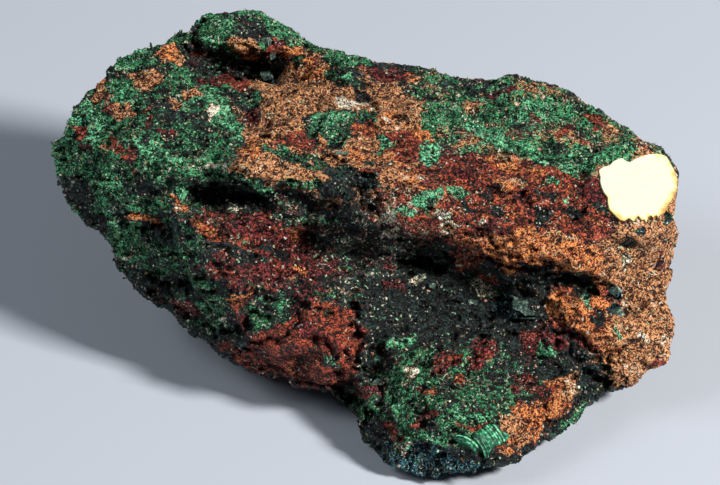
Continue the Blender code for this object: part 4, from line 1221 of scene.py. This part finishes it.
for number, (middle, outline, rise, slope, thickness) in enumerate(FLAT_CRYSTALS):
    bpy.ops.object.select_all(action="DESELECT")
    bpy.ops.mesh.primitive_circle_add(vertices=len(outline), radius=1.0, fill_type="NGON")
    slab = named(f"slab {number}")
    corners = sorted(outline, key=lambda spot: math.atan2(spot[1] - middle[1], spot[0] - middle[0]))
    around = np.argsort(np.arctan2(*places(slab.data)[:, 1::-1].T))
    _, _, mean_depth, _ = ground_under(*middle, middle, 0.6)
    spots = np.zeros((len(corners), 3))
    for index, (x, y) in zip(around, corners):
        spots[index] = (x, y, mean_depth + rise + (x - middle[0]) * slope[0] + (y - middle[1]) * slope[1])
    set_places(slab.data, spots)
    slab.data.transform(PLANE)
    thicken(slab, thickness, -1.0)
    edge_cut = slab.modifiers.new("edges", "BEVEL")
    edge_cut.width = 0.08 * MM
    edge_cut.limit_method = "ANGLE"
    slabs.append(finish_modifiers(slab))
for slab in slabs:
    slab.select_set(True)
bpy.ops.object.join()
crystals = named("flat_crystals")
for face in crystals.data.polygons:
    face.use_smooth = False
print(len(FLAT_CRYSTALS), "flat crystals have", triangles(crystals), "triangles")

# %% The flat crystals' material
g = material_graph("cleavage")
place = g.add("ShaderNodeTexCoord").outputs["Object"]
stretched = {"Vector": place, "Rotation": (0.4, 0.2, 0.9), "Scale": (1.0, 0.15, 1.0)}
hatch = g.noise(g.add("ShaderNodeMapping", stretched).outputs[0], 2600.0, 3.0)
cloudy = g.math("MULTIPLY_ADD", g.noise(place, 240.0, 1.0), 1.2, -0.95)
tint = g.math("ADD", g.math("MULTIPLY", hatch, 1.6), cloudy)
grey = g.ramp(tint, [(0.1, (8, 18, 20)), (0.42, (50, 70, 64)), (0.68, (106, 126, 114)), (0.97, (200, 214, 198))])
dress(crystals, g, grey, 0.3, 0.5, 0.2, hatch)
print("the cleavage runs from slate to grey")

# %% [markdown]
# ## Bind the pieces to the frame
# Every piece rides on the specimen's one body, and the CAD nodes that the pieces stand for are hidden.

# %% Bind the pieces
for piece in (skin, grains, specks, needles, cubes, fan, crystals):
    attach(piece, "root")
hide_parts("rock")
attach(patch, "root")
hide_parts("label_patch")
print("bound 8 pieces")

# %% [markdown]
# ## The studio
# The specimen lies on a plain pale floor. A soft light stands high at the right and in front, which lights the top and
# leaves the hollow band in shade, as in the photograph. A weaker one lights the left slope, and a dim sky the rest.

# %% The studio
bpy.ops.object.select_all(action="DESELECT")
bpy.ops.mesh.primitive_plane_add(size=8.0, location=(0, 0, 0))
floor = named("floor")
g = material_graph("pale floor")
g.join(g.shader, "Base Color", colour(176, 183, 194))
g.join(g.shader, "Roughness", 0.9)
give(floor, g.material)


def add_light(name, place, aim, size, power, tint):
    bpy.ops.object.light_add(type="AREA", location=place)
    light = bpy.context.active_object
    light.name = name
    light.data.size = size
    light.data.energy = power
    light.data.color = tint
    light.rotation_euler = (Vector(aim) - Vector(place)).to_track_quat("-Z", "Y").to_euler()
    light.visible_camera = False
    return light


MIDDLE = (0.0, 0.0, 0.025)
key = add_light("key", (0.82, -0.42, 0.76), MIDDLE, 0.2, 24.5, (1.0, 0.97, 0.93))
fill = add_light("fill", (-0.9, -0.1, 0.9), MIDDLE, 0.6, 6.0, (0.92, 0.97, 1.0))
world = bpy.data.worlds.new("dim sky")
bpy.context.scene.world = world
world.use_nodes = True
world.node_tree.nodes["Background"].inputs["Color"].default_value = (0.80, 0.88, 1.0, 1.0)
world.node_tree.nodes["Background"].inputs["Strength"].default_value = 0.07
bpy.context.scene.view_settings.view_transform = "Standard"
print("the studio has a floor, a key and a fill")

# %% [markdown]
# ## The camera
# The photograph was taken from in front and above with a long lens, so near and far keep the same scale.

# %% The camera
CAMERA_AWAY = 3.0
FRAME_WIDTH = 0.144
aim = PLANE @ Vector((-1.0, -0.5, 0.0))
bpy.ops.object.camera_add(location=aim + TOWARDS_EYE * CAMERA_AWAY)
camera = bpy.context.active_object
camera.rotation_euler = TOWARDS_EYE.to_track_quat("Z", "Y").to_euler()
camera.data.sensor_width = 36.0
camera.data.lens = 36.0 * CAMERA_AWAY / FRAME_WIDTH
camera.data.clip_start = 0.1
camera.data.clip_end = 50.0
bpy.context.scene.camera = camera
print("the camera looks down by", round(math.degrees(LEAN_BACK)), "degrees")
